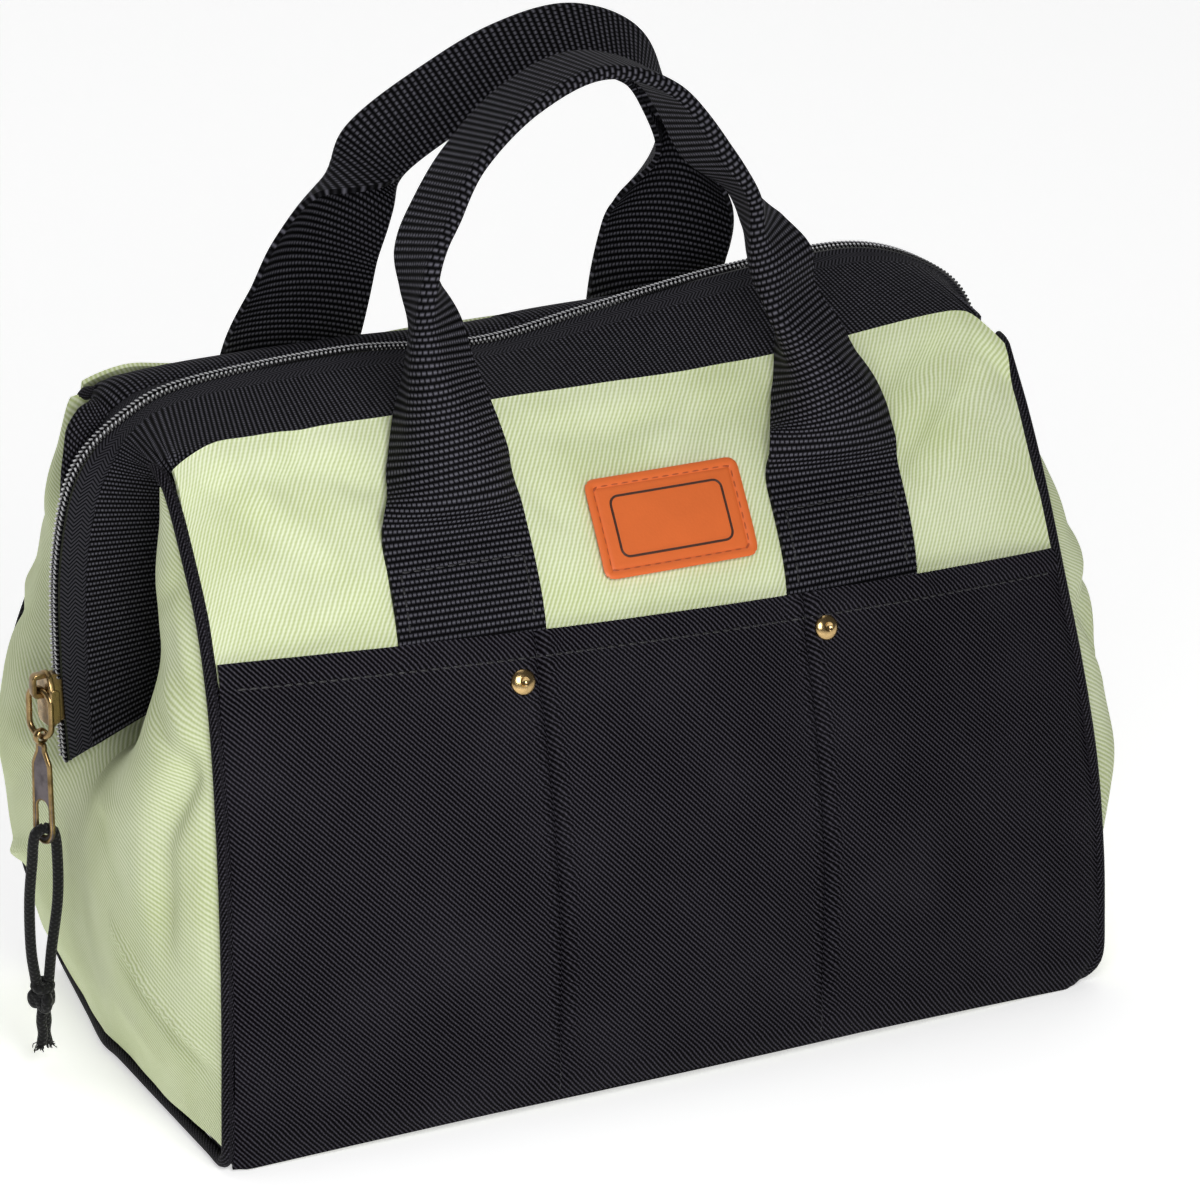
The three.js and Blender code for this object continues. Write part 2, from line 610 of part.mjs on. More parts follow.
function tab() {
  const eyeZ = RING_TOP_Z - RING_HEIGHT;
  const outline = new THREE.Shape();
  outline.moveTo(-TAB_HALF_WIDTH, TAB_BOTTOM_Z + TAB_HALF_WIDTH);
  outline.absarc(0, TAB_BOTTOM_Z + TAB_HALF_WIDTH, TAB_HALF_WIDTH, Math.PI, 2 * Math.PI, false);
  outline.lineTo(TAB_SHOULDER, eyeZ - TAB_NECK_DROP.shoulder);
  outline.lineTo(TAB_NECK, eyeZ - TAB_NECK_DROP.foot);
  outline.lineTo(TAB_NECK, eyeZ - TAB_NECK_DROP.top);
  outline.lineTo(-TAB_NECK, eyeZ - TAB_NECK_DROP.top);
  outline.lineTo(-TAB_NECK, eyeZ - TAB_NECK_DROP.foot);
  outline.lineTo(-TAB_SHOULDER, eyeZ - TAB_NECK_DROP.shoulder);
  const hole = new THREE.Path();
  hole.moveTo(TAB_HOLE.radius, TAB_HOLE.low);
  hole.absarc(0, TAB_HOLE.low, TAB_HOLE.radius, 0, Math.PI, true);
  hole.absarc(0, TAB_HOLE.high, TAB_HOLE.radius, Math.PI, 0, true);
  outline.holes.push(hole);
  const settings = { depth: TAB_THICKNESS, bevelEnabled: false, curveSegments: 6 };
  const plate = new THREE.ExtrudeGeometry(outline, settings);
  plate.rotateX(Math.PI / 2).rotateZ(Math.PI / 2).translate(PULL_X - TAB_THICKNESS / 2, 0, 0);
  const bore = RING_WIRE + RING_PLAY;
  return solid(plate).add(eyeBar(TAB_EYE, 2 * TAB_NECK)).subtract(eyeBar(bore, 4));
}

add("zip_slider", fromSolid(slider()), BRASS);
add("zip_ring", ring(), BRASS);
add("zip_tab", fromSolid(tab()), BRASS);

// Cord loop through the tab, its knot and tails
const loopZ = TAB_HOLE.low - TAB_HOLE.radius + CORD_RADIUS + 0.7;
const CORD_ROWS = [
  { x: KNOT_X - 2, y: 0.2, z: KNOT_Z + KNOT_RADIUS + 1.2 },
  { x: KNOT_X - 3, y: 0.8, z: 39 },
  { x: -5.2, y: 1.2, z: 55 },
  { x: -4, y: 0.8, z: 68 },
  { x: -2.9, y: 0.2, z: loopZ - 1.6 },
  { x: 0, y: 0, z: loopZ },
  { x: 2.9, y: -0.2, z: loopZ - 1.6 },
  { x: 3.6, y: -0.8, z: 68 },
  { x: 3, y: -1.2, z: 55 },
  { x: KNOT_X + 3, y: -0.8, z: 39 },
  { x: KNOT_X + 2, y: -0.2, z: KNOT_Z + KNOT_RADIUS + 1.2 },
];
const cordLine = CORD_ROWS.map((row) => point(PULL_X + row.x, row.y, row.z));
add("pull_cord", tube(cordLine, CORD_RADIUS, 26, 8), BLACK);

function knot() {
  const ball = new THREE.SphereGeometry(KNOT_RADIUS, 10, 7).scale(0.95, 0.9, 1.15);
  const tail = (lean) => {
    const bar = new THREE.CylinderGeometry(CORD_RADIUS, CORD_RADIUS, KNOT_Z - TAIL_END_Z, 8);
    bar.rotateX(Math.PI / 2).translate(0, 0, (TAIL_END_Z - KNOT_Z) / 2);
    return solid(bar.rotateY(THREE.MathUtils.degToRad(lean)));
  };
  const whole = joined([solid(ball), tail(TAIL_LEAN), tail(-TAIL_LEAN)]);
  return whole.translate(PULL_X + KNOT_X, 0, KNOT_Z);
}

add("cord_knot", fromSolid(knot()), BLACK);

// Handles: webbing whose halves fold together at the grip, with the fold on the outer side
const SEWN_OUT = WALL / 2 + CLEAR + WEBBING / 2;

// Distance sideways and forwards of a point on the strap, from the fold: a curve that ends as a crease
function strapSection(d, fold) {
  const half = STRAP_WIDTH / 2;
  const crease = (Math.PI / 2) * FOLD_RADIUS;
  const creased = smooth((fold - STRAP_ROLLED_TO) / STRAP_CREASED_OVER);
  const curved = half + (crease - half) * creased;
  const radius = curved / fold;
  const bend = Math.min(fold, d / radius);
  const rest = Math.max(0, d - curved);
  const sideways = radius * Math.sin(bend) + rest * Math.cos(fold);
  return [sideways, radius * (1 - Math.cos(bend)) + rest * Math.sin(fold)];
}

// How far a sewn strap has leaned to the right at a height
function strapLean(side, z) {
  return side < 0 ? STRAP_LEAN * (z - POCKET_TOP) : 0;
}

// Rows of a handle's strap where it is sewn to the wall, from its end upwards
function sewnRows(side, end) {
  const s = (end * STRAP_X) / wallRow(side, end, POCKET_TOP).half;
  const low = pocketTop(s) + STRAP_FOOT_GAP;
  const heights = [low, (low + STRAP_SEWN_TO) / 2, STRAP_SEWN_TO - 4];
  return heights.map((z) => {
    const p = wallPoint(side, end * STRAP_X + strapLean(side, z), z, SEWN_OUT);
    return { x: p.x, y: p.y, z: p.z, fold: 0, roll: 0 };
  });
}

function handle(side, freeRows, rows) {
  const left = sewnRows(side, -1);
  const right = sewnRows(side, 1).reverse();
  const table = numbered([...left, ...freeRows, ...right]);
  const last = table.length - 1;
  const half = STRAP_WIDTH / 2;
  const quarter = (Math.PI / 2) * FOLD_RADIUS;
  const arms = [quarter / 2, quarter, half / 2, half];
  const across = [...arms.map((d) => -d).reverse(), 0, ...arms];
  const middle = (order) => {
    const row = rowAt(table, "order", order);
    return point(row.x, row.y, row.z);
  };
  const at = (u, v) => {
    const order = v * last;
    const row = rowAt(table, "order", order);
    const ahead = middle(Math.min(last, order + 0.05));
    const along = ahead.sub(middle(Math.max(0, order - 0.05))).normalize();
    const front = point(0, -1, 0).addScaledVector(along, along.y).normalize();
    const out = front.clone().cross(along);
    const roll = (row.roll * Math.PI) / 180;
    const w = front.clone().multiplyScalar(Math.cos(roll)).addScaledVector(out, -Math.sin(roll));
    const n = out.clone().multiplyScalar(Math.cos(roll)).addScaledVector(front, Math.sin(roll));
    const fold = Math.max(0.01, (row.fold * Math.PI) / 180);
    const d = across[Math.round(u * 8)];
    const [sideways, forwards] = strapSection(Math.abs(d), fold);
    const p = middle(order).addScaledVector(n, Math.sign(d) * sideways);
    p.addScaledVector(w, side * (forwards - strapSection(half, fold)[1] / 2));
    const end = order < last / 2 ? -1 : 1;
    const sewn = smooth(left.length - Math.min(order, last - order));
    const x = end * (STRAP_X + d) + strapLean(side, row.z);
    return p.lerp(wallPoint(side, x, row.z, SEWN_OUT), sewn);
  };
  return sheet(8, rows, at, WEBBING);
}

add("handle_front", handle(-1, FRONT_HANDLE_ROWS, 30), BLACK);
add("handle_rear", handle(1, REAR_HANDLE_ROWS, 31), BLACK);

// Patch and rivets
function patch() {
  const w = PATCH.width / 2;
  const h = PATCH.height / 2;
  const xs = [-w, PATCH.corner - w, -w / 3, w / 3, w - PATCH.corner, w];
  const zs = [-h, PATCH.corner - h, h - PATCH.corner, h];
  const out = WALL / 2 + CLEAR + PATCH.thickness / 2;
  return sheet(5, 3, (u, v) => {
    const i = Math.round(u * 5);
    const j = Math.round(v * 3);
    const corner = (i === 0 || i === 5) && (j === 0 || j === 3) ? 0.3 * PATCH.corner : 0;
    const x = xs[i] - Math.sign(xs[i]) * corner;
    const z = zs[j] - Math.sign(zs[j]) * corner;
    return wallPoint(-1, PATCH.x + x, PATCH.z + z * PATCH.slope, out);
  }, PATCH.thickness);
}

add("patch", patch(), ORANGE);

function rivet(end) {
  const r = RIVET.radius;
  const h = RIVET.height;
  const profile = [[0, 0], [r, 0], [r, 0.3 * h], [0.75 * r, 0.8 * h], [0.35 * r, h], [0, 0.8 * h]];
  const points = profile.map(([x, y]) => new THREE.Vector2(x, y));
  const geometry = new THREE.LatheGeometry(points, 14);
  const out = 1.5 * WALL + 2 * CLEAR + POCKET_PUFF * 0.5;
  const foot = wallPoint(-1, end * RIVET.x, RIVET.z, out);
  const ahead = wallPoint(-1, end * RIVET.x, RIVET.z, out + 1).sub(foot);
  const turn = new THREE.Quaternion().setFromUnitVectors(point(0, 1, 0), ahead.normalize());
  geometry.applyQuaternion(turn);
  return geometry.translate(foot.x, foot.y, foot.z);
}

add("rivet_left", rivet(-1), BRASS);
add("rivet_right", rivet(1), BRASS);

export default group;
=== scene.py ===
"""Electrician tool bag: its cloth, webbing, zip and brass pieces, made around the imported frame."""

import math

import bpy
import numpy as np
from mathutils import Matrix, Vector


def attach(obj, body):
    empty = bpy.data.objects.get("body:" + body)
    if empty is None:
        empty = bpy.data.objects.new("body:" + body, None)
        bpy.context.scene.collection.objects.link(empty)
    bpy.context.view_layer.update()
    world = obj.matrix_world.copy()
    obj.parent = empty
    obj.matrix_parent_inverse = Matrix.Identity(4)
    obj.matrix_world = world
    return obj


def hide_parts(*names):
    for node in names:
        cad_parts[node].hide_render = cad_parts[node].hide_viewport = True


bl_info = {
    "name": "Electrician Tool Bag",
    "version": (1, 0, 0),
    "blender": (4, 5, 0),
    "location": "3D View > Sidebar > Tool Bag",
    "description": "Makes a zip-top tool bag of twill, webbing and brass, with a stage",
    "category": "Add Mesh",
}

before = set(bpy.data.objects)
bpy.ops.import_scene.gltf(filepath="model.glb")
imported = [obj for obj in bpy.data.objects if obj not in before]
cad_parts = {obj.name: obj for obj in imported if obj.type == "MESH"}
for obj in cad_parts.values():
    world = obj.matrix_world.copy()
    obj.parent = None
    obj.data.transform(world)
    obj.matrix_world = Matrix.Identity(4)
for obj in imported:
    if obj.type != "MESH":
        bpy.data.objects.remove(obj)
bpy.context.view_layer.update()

# Sizes in millimetres, measured from the zip's plane: +X to the right, front towards -Y, floor at 0
MM = 0.001
UV_MM = 100.0  # millimetres in one unit of a piece's UV map
MOUTH_BACK = 14.0  # the zip lies this far behind the middle of the base
FRONT, REAR = -1, 1
LEFT, RIGHT = -1, 1
WALL_TOP = {FRONT: 203.0, REAR: 206.0}
CORNER_DROP = 5.0
RIGHT_DROP = 6.0  # more of it at the front wall's right corner
RIGHT_RISE = 5.0  # the walls are this much higher at the right end
BOTTOM_ARCH = {FRONT: 3.5, REAR: 0.0}  # rise of a wall's bottom edge in its middle
EDGE_LIFT = 1.0
TOP_FLARE = 2.6  # the walls' folded top edges stand this far out, over the mouth's band
LAYER = 1.9  # cloth and the gap behind it
PIPING_RADIUS = 2.0
CLOTH_INSET = 1.6  # from the piping's axis to the edge of the cloth
POCKET_TOP = 146.0
POCKET_TILT = 4.0  # the pocket top falls this much from its middle to its right end
POCKET_HALF = 145.0  # half length of a wall at the pocket top
POCKET_SEAM_X = 45.4
POCKET_PUFF = 1.6
POCKET_FOOT = 24.0  # the pocket's own shape fades in over this height above its lower edge
POCKET_SEWN_LAYER = 0.5  # in place of a full layer where the pocket is sewn down
POCKET_OVER_STRAP = 1.7  # the pocket stands out this much more over the end of a strap
SEAM_SUNK, SEAM_WIDTH = 1.5, 1.3
PUCKER_HEIGHT, PUCKER_WIDTH = 0.45, 1.8  # of the small gathers beside a pocket seam
PUCKER_FROM_SEAM = 3.2
PUCKER_PITCH = 3.6
HEM = 7.0  # from the pocket's top edge to its stitching
STITCH_LIFT = 0.55  # from a pocket's middle surface to the stitches on it
STITCH_SPACE = 0.9  # between two stitches
STRAP_X = 64.5
STRAP_WIDTH = 46.6
STRAP_SEWN_TO = 172.0
STRAP_LEAN = {FRONT: 0.14, REAR: 0.0}  # of the sewn straps to the right, for each millimetre up
STRAP_GAP = 1.05  # from a wall's middle surface to the back of a sewn strap
STRAP_TUCK = 4.0  # a sewn strap reaches this far behind the pocket's top edge
STRAP_ROLLED_TO = math.radians(40)  # up to this fold the strap's section is one curve
STRAP_CREASED_OVER = math.radians(45)  # and over this much more of it becomes a crease
FOLD_RADIUS = 1.35
TAPE_WIDTH = 8.0
ZIP_HALF_WIDTH = 3.3
TOOTH_PITCH = 1.5
SLIDER_Z = 120.5
SLIDER_LENGTH = 17.0
PULL_X = -168.0  # plane in which the ring, the tab and the cord hang
RING_TOP_Z = 123.5
RING_HEIGHT = 15.2
RING_HALF_WIDTH = 5.2
RING_WIRE = 0.95
RING_TURN, TAB_TURN = 17.0, 20.0  # degrees that they hang turned towards the front
TAB_BOTTOM_Z = 73.7
TAB_HALF_WIDTH = 4.5
TAB_HOLE_LOW = 78.7
TAB_HOLE_HIGH = 85.2
TAB_HOLE_RADIUS = 2.85
CORD_RADIUS = 1.7
KNOT_X = -2.4  # from the pull's plane
KNOT_Z = 22.8
PATCH_X, PATCH_Z = 9.3, 168.8
PATCH_SLOPE = 0.78  # height of the patch for each millimetre along the wall
PATCH_LEAN = 0.1  # it leans this much to the right for each millimetre up
RIVET_X, RIVET_Z = 51.4, 134.0


def columns(names, rows):
    """A short table as a dictionary of named columns."""
    return dict(zip(names.split(), np.array(rows, float).T))


# Front and rear walls by height: half length, what the right end adds to it,
# distance from the zip's plane and bow of the middle
WALLS = {
    FRONT: columns("z half right depth bow", [
        (0, 152, -9, 94, 3),
        (5, 152, -4, 95.2, 4),
        (12, 152, -1, 96, 5),
        (75, 149, 0, 91.5, 10),
        (146.5, 144.5, -2.5, 75, 9.5),
        (180, 142.5, 1.5, 54, 5),
        (208, 141.5, 5, 30.3, 1),
    ]),
    REAR: columns("z half right depth bow", [
        (0, 134, 0, 68, 2),
        (20, 140.5, 0, 71.5, 4),
        (47, 146, 0, 75, 8),
        (100, 146, 0, 78, 10),
        (150, 135, 0, 66, 8),
        (185, 136, 0, 45, 3),
        (211, 140, -2, 25.5, 1),
    ]),
}

# Half of a gusset from its seam to its middle, with the bulge near each, the rear half's share of it
# and the share of the bulge by the front seam at the right end
GUSSET = columns("order seam bulge inner rear right x y z", [
    (0, 7.6, 1, 1, 0.8, 1, 147.5, 5, 5.4),
    (1, 35, 6, 4, 0.8, 2, 155, 5, 33),
    (2, 65, 10, 3, 0.9, 2.75, 158.5, 5, 60),
    (3, 92, 13, 4, 1, 2.25, 157, 5, 84),
    (4, 112, 14, 10, 1.05, 2.1, 146, 5.5, 99),
    (5, 130, 15, 18, 1.1, 2, 126, 11, 113),
    (6, 150, 10.5, 13, 1.6, 2.4, 122, 11, 136),
    (7, 170, 9, 12, 1.75, 1.9, 123.5, 12.5, 162),
    (8, 186, 4.5, 4, 2.6, 1.8, 130.5, 21, 183),
    (9, 195, 1.5, 1, 4, 1, 138.5, 35, 192),
])
GUSSET_END = 9
NOTCH_ROW = 5  # above this row the gusset is open in the middle for the end of the mouth
REAR_LIFT = 8.0  # the rear half of a gusset reaches this much higher at its top row
REAR_CORNER_RISE = 3.6  # of the rear wall at the left end
WEAVE_TURN = 85.0  # the gussets are cut with the twill turned by this many degrees

# Mouth from the left end to the right end: zip line, and lower edge of the front band
MOUTH = columns("order zip_x zip_z x y z", [
    (0, -160, 100, -124, 8, 118),
    (1, -161.5, 130, -122.5, 8, 136),
    (2, -160.5, 164, -124, 9.5, 165),
    (3, -153.5, 190, -131, 18, 188),
    (4, -137, 204.5, -140, 33.5, 200.5),
    (5, -116, 211.5, -126, 35, 203.2),
    (6, -65, 214.2, -65, 36, 202.6),
    (7, -20, 210.9, -20, 36.4, 202.6),
    (8, 20, 216.2, 20, 36.4, 202.6),
    (9, 65, 222.2, 65, 35.6, 203.5),
    (10, 110, 224.5, 126, 32.5, 207),
    (11, 138, 216, 140, 31, 205.5),
    (12, 155, 200, 133, 18, 191),
    (13, 161, 168, 124, 9.5, 165),
    (14, 161.5, 131, 122.5, 8, 136),
    (15, 160, 100, 124, 8, 118),
])
MOUTH_END = 15
MOUTH_CORNERS = (3.7, 11.3)  # places along it where the band turns a corner

# The mouth's rear edge is narrower, closer to the zip and higher than its front edge, by shares that
# grow from 0 to 1 between two distances from the zip's plane
REAR_NARROWER, REAR_CLOSER, REAR_HIGHER = 5.0, 5.4, 2.5
REAR_FROM, REAR_IN_FULL = 8.0, 35.0

# Free part of each handle: middle of the strap, fold of its halves and roll in degrees
HANDLES = {
    FRONT: columns("x y z fold roll", [
        (-60.6, -66.5, 186, 47, -4),
        (-61.5, -62.6, 198, 57, -20),
        (-62.6, -59, 210, 64, -32),
        (-63.1, -56.2, 222, 71, -39),
        (-62.5, -53.4, 234, 76, -37),
        (-62.6, -50.9, 246, 80, -20),
        (-61.4, -48.4, 257, 83, -4),
        (-56.8, -46, 267, 90, 4),
        (-45.3, -43, 282, 90, -2),
        (-25, -40, 297, 90, 0),
        (-1, -38, 304, 90, 0),
        (22, -39.5, 296, 88, 0),
        (37.4, -44, 275.5, 80, 0),
        (47, -46.8, 262, 87, 10),
        (50.9, -49.4, 250, 80, 31),
        (53.9, -52, 239, 73, 44),
        (57.2, -54.6, 228, 80, 49),
        (61.3, -57.5, 216, 72, 36),
        (65.2, -61.6, 205, 65, 15),
        (68.4, -65.5, 194, 50, -2),
        (68.6, -67, 184, 25, -3),
    ]),
    REAR: columns("x y z fold roll", [
        (-63.5, 54, 187, 8, 0),
        (-62.5, 46, 205, 19, 0),
        (-59.3, 40, 222, 24, 9),
        (-55.5, 37.5, 237, 41, 14),
        (-47.5, 35, 253, 53, 26),
        (-37, 31.5, 268, 88, 60),
        (-16, 28, 282, 90, 60),
        (5, 26, 292, 90, 58),
        (27, 25, 296, 90, 52),
        (47, 27, 289, 90, 45),
        (57, 29.5, 275, 90, 38),
        (66, 33, 257, 77, 24),
        (67.3, 37, 237, 53, 18),
        (64.6, 43, 210, 17, 4),
        (66, 53, 187, 5, 0),
    ]),
}

# Soft folds: ridges (height above 0) and valleys along lines on a wall, or on a gusset seen from its end
WALL_FOLDS = columns("x0 z0 x1 z1 width height", [
    (-96, 201, -112, 190, 3.5, -1.65),
    (-104, 201, -120, 188, 4, 1.2),
    (-92, 191, -74, 187, 3.5, -2.1),
    (-92, 197, -72, 193, 4, 1.05),
    (-136, 201, -104, 168, 4, -1.05),
    (-128, 202, -96, 168, 5, 1.35),
    (-84, 161, -113, 149, 4, -1.5),
    (-84, 168, -118, 155, 5, 1.2),
    (126, 203, 96, 188, 3.2, -3.3),
    (133, 202, 100, 183, 4, 1.5),
    (131, 191, 97, 172, 3.2, -3.6),
    (134, 184, 100, 164, 4.5, 1.35),
    (112, 176, 90, 163, 4, -1.35),
    (41, 202, -4, 190, 4, -1.35),
    (48, 202, 8, 186, 4, 1.05),
    (48, 199, 24, 184, 3.5, -1.05),
    (69, 201, 54, 186, 3.5, -1.2),
    (-34, 186, -24, 172, 4, -1.05),
    (-38, 196, -20, 190, 4, 0.9),
])
FOLD_DEPTH = {FRONT: 1.0, REAR: 0.8}  # the rear wall has the same folds, mirrored and shallower
GUSSET_FOLDS = columns("x0 z0 x1 z1 width height", [
    (-56, 140, -85, 121, 3.2, 2.2),
    (-48, 134, -79, 114, 3.2, -1.6),
    (-74, 121, -66, 96, 6, -5.0),
    (-66, 98, -70, 62, 6, -4.2),
    (-84, 118, -87, 60, 4, 2.0),
    (-36, 58, -92, 33, 2.4, 2.5),
    (-36, 51, -90, 27, 3.4, -1.9),
    (-18, 96, -50, 70, 5, -1.0),
    (-14, 92, -40, 96, 4, 1.2),
    (-62, 176, -40, 158, 4, -1.2),
    (-56, 160, -72, 140, 4, 1.0),
    (-20, 30, -60, 22, 5, 0.9),
])

# Strands of the cord loop, from the tab's hole down to the knot, with x from the pull's plane
CORD_STRANDS = {
    "cord_strand_left": columns("x y z", [
        (0, 0, 78.65),
        (-2.9, 0.2, 77.05),
        (-4, 0.8, 68),
        (-5.2, 1.2, 55),
        (-5.4, 0.8, 39),
        (-4.4, 0.2, 28.8),
    ]),
    "cord_strand_right": columns("x y z", [
        (0, 0, 78.65),
        (2.9, -0.2, 77.05),
        (3.6, -0.8, 68),
        (3, -1.2, 55),
        (0.6, -0.8, 39),
        (-0.4, -0.2, 28.8),
    ]),
}


def linear(code):
    """Linear colour of an sRGB hex code."""
    shares = [int(code[i:i + 2], 16) / 255 for i in (1, 3, 5)]
    return [c / 12.92 if c <= 0.04045 else ((c + 0.055) / 1.055) ** 2.4 for c in shares]


# What a user would change


def length_property(name, description, millimetres):
    """A size shown in the scene's own unit of length."""
    return bpy.props.FloatProperty(
        name=name, description=description, default=millimetres * MM, min=0.0, precision=5, unit="LENGTH")


def colour_property(name, description, code):
    """A colour given as an sRGB hex code."""
    return bpy.props.FloatVectorProperty(
        name=name, description=description, default=linear(code), min=0.0, max=1.0, size=3, subtype="COLOR")


class BagCloth(bpy.types.PropertyGroup):
    """Twill of the walls, gussets, pockets and base"""

    green: colour_property("Green", "Colour of the walls and gussets", "#eaf1d3")
    green_gap: colour_property("Green gaps", "Colour between the green twill's ribs", "#bcc88d")
    black: colour_property("Black", "Colour of the pockets", "#45434b")
    black_gap: colour_property("Black gaps", "Colour between the black twill's ribs", "#040305")
    thickness: length_property("Thickness", "Thickness of one layer of cloth", 1.4)
    green_rib: length_property("Green rib", "Distance between the green twill's ribs", 1.3)
    black_rib: length_property("Black rib", "Distance between the black twill's ribs", 1.15)
    fold_share: bpy.props.FloatProperty(
        name="Folds", description="Depth of the soft folds", default=1.0, min=0.0, max=3.0, subtype="FACTOR")


class BagWebbing(bpy.types.PropertyGroup):
    """Webbing of the handles and the mouth"""

    # The crown colour is the black yarns lifted to grey: a painted highlight on their raised tops
    crown: colour_property("Crown", "Colour of the raised yarns", "#5f5e67")
    gap: colour_property("Gap", "Colour between the yarns", "#050506")
    thickness: length_property("Thickness", "Thickness of the webbing", 1.7)
    yarn: length_property("Yarn", "Distance between yarns across the webbing", 1.45)
    pick: length_property("Pick", "Distance between rows along the webbing", 2.0)


class BagTrim(bpy.types.PropertyGroup):
    """Brass, cord, thread and the patch"""

    brass: colour_property("Brass", "Colour of the worn brass", "#a98f63")
    brass_dark: colour_property("Dark brass", "Colour where the brass is aged", "#6d5a3c")
    face: colour_property("Tab face", "Colour of the tab's sunk face", "#6d6668")
    patch: colour_property("Patch", "Colour of the patch", "#e46f33")
    patch_line: colour_property("Patch line", "Colour of the thread on the patch", "#b8501f")
    stitch: length_property("Stitch", "Length of one stitch", 2.6)


class BagStage(bpy.types.PropertyGroup):
    """Floor, lights and camera"""

    floor: colour_property("Floor", "Colour of the floor", "#e6e6e6")
    key: bpy.props.FloatProperty(
        name="Key light", description="Power of the light from the front", default=2.1, min=0.0, unit="POWER")
    top: bpy.props.FloatProperty(
        name="Top light", description="Power of the light from above", default=16.0, min=0.0, unit="POWER")
    glow: bpy.props.FloatProperty(
        name="Floor glow", description="Light that comes up through the floor", default=0.54, min=0.0)
    lens: bpy.props.FloatProperty(
        name="Lens", description="Focal length of the camera", default=161.5, min=10.0, unit="CAMERA")


SETTINGS = {"bag_cloth": BagCloth, "bag_webbing": BagWebbing, "bag_trim": BagTrim, "bag_stage": BagStage}


# Curves, walls and folds


def unit(vectors):
    """Vectors with a length of one."""
    return vectors / np.maximum(np.linalg.norm(vectors, axis=-1, keepdims=True), 1e-12)


def soft_step(t):
    """0 to 1 with level ends."""
    t = np.clip(t, 0, 1)
    return t * t * (3 - 2 * t)


def bell(far, width):
    """1 in the middle of a bump, fading over its width."""
    return np.exp(-((far / width) ** 2))


def xyz(row):
    """Points from columns named x, y and z."""
    return np.stack([row["x"], row["y"], row["z"]], -1)


def lengths(points):
    """Length along a polyline up to each of its points."""
    return np.concatenate([[0], np.cumsum(np.linalg.norm(np.diff(points, axis=0), axis=1))])


def even_steps(length, spacing):
    """Places from 0 to length, evenly and about spacing apart."""
    return np.linspace(0, length, max(2, int(round(length / spacing)) + 1))


def between(at, long, rows):
    """Rows that are given at lengths along a line, worked out at other lengths."""
    return np.stack([np.interp(at, long, rows[:, k]) for k in range(3)], -1)


def drawn(table, key, at):
    """Every column of a table on a smooth curve through its rows, where column key is at."""
    knots = table[key]
    at = np.asarray(at, float)
    last = len(knots) - 1
    i = np.clip(np.searchsorted(knots, at) - 1, 0, last - 1)
    step = knots[i + 1] - knots[i]
    t = np.clip((at - knots[i]) / step, 0, 1)
    low = np.maximum(np.arange(last + 1) - 1, 0)
    high = np.minimum(np.arange(last + 1) + 1, last)
    out = {}
    for name, values in table.items():
        slope = (values[high] - values[low]) / (knots[high] - knots[low])
        rise = (3 * t**2 - 2 * t**3) * (values[i + 1] - values[i])
        start = (t**3 - 2 * t**2 + t) * slope[i] * step
        stop = (t**3 - t**2) * slope[i + 1] * step
        out[name] = values[i] + rise + start + stop
    return out


def line_through(points, spacing):
    """Points about spacing apart on a smooth curve through the given ones."""
    points = np.asarray(points, float)
    long = lengths(points)
    table = {"long": long, "x": points[:, 0], "y": points[:, 1], "z": points[:, 2]}
    return xyz(drawn(table, "long", even_steps(long[-1], spacing)))


def evenly(points, spacing):
    """Points exactly evenly spaced along a polyline, about spacing apart."""
    long = lengths(points)
    return between(even_steps(long[-1], spacing), long, points)


def wall_half(side, x, z):
    """Half length of a wall at a height, on the side of x."""
    row = drawn(WALLS[side], "z", z)
    return row["half"] + np.where(np.asarray(x) > 0, row["right"], 0.0)


def wall_base(side, x, z):
    """Point on a wall."""
    row = drawn(WALLS[side], "z", z)
    s = np.clip(x / wall_half(side, x, z), -1, 1)
    return np.stack(np.broadcast_arrays(x, side * (row["depth"] + row["bow"] * (1 - s * s)), z), -1)


def wall_point(side, x, z, out):
    """Point on a wall, moved outwards along its normal."""
    x, z, out = np.broadcast_arrays(np.asarray(x, float), np.asarray(z, float), np.asarray(out, float))
    across = wall_base(side, x + 0.5, z) - wall_base(side, x - 0.5, z)
    up = wall_base(side, x, z + 0.5) - wall_base(side, x, z - 0.5)
    return wall_base(side, x, z) - side * unit(np.cross(across, up)) * out[..., None]


def wall_spot(side, x, z, out):
    """Points off a wall, and their outward directions."""
    points = wall_point(side, x, z, out)
    return points, wall_point(side, x, z, out + 1) - points


def fold_height(folds, x, z):
    """Height of soft folds at a place, fading out at both ends of each line."""
    total = np.zeros(np.broadcast(x, z).shape)
    for k in range(len(folds["width"])):
        ax, az = folds["x0"][k], folds["z0"][k]
        dx, dz = folds["x1"][k] - ax, folds["z1"][k] - az
        t = ((x - ax) * dx + (z - az) * dz) / (dx * dx + dz * dz)
        near = np.clip(t, 0, 1)
        far = np.hypot(x - ax - near * dx, z - az - near * dz)
        fade = np.sin(np.pi * np.clip(0.08 + 0.84 * near, 0, 1)) ** 0.7
        total = total + folds["height"][k] * fade * bell(far, folds["width"][k])
    return total


def slack(u, v, size, height):
    """Gentle uneven swell of loose cloth, with waves about size apart."""
    k = 2 * np.pi / size
    waves = np.sin(k * (0.83 * u + 0.41 * v) + 0.7) + np.sin(k * (1.31 * v - 0.52 * u) + 2.1)
    waves = waves + np.sin(k * (0.37 * u - 0.71 * v) + 4.0) + 0.6 * np.sin(k * (1.9 * u + 1.4 * v) + 1.3)
    return height * waves / 3


def bottom_edge(side, s):
    """Height of a wall's lower edge."""
    return EDGE_LIFT + BOTTOM_ARCH[side] * (1 - s * s)


def pocket_top(s):
    """Height of a pocket's upper edge."""
    return POCKET_TOP - POCKET_TILT * s


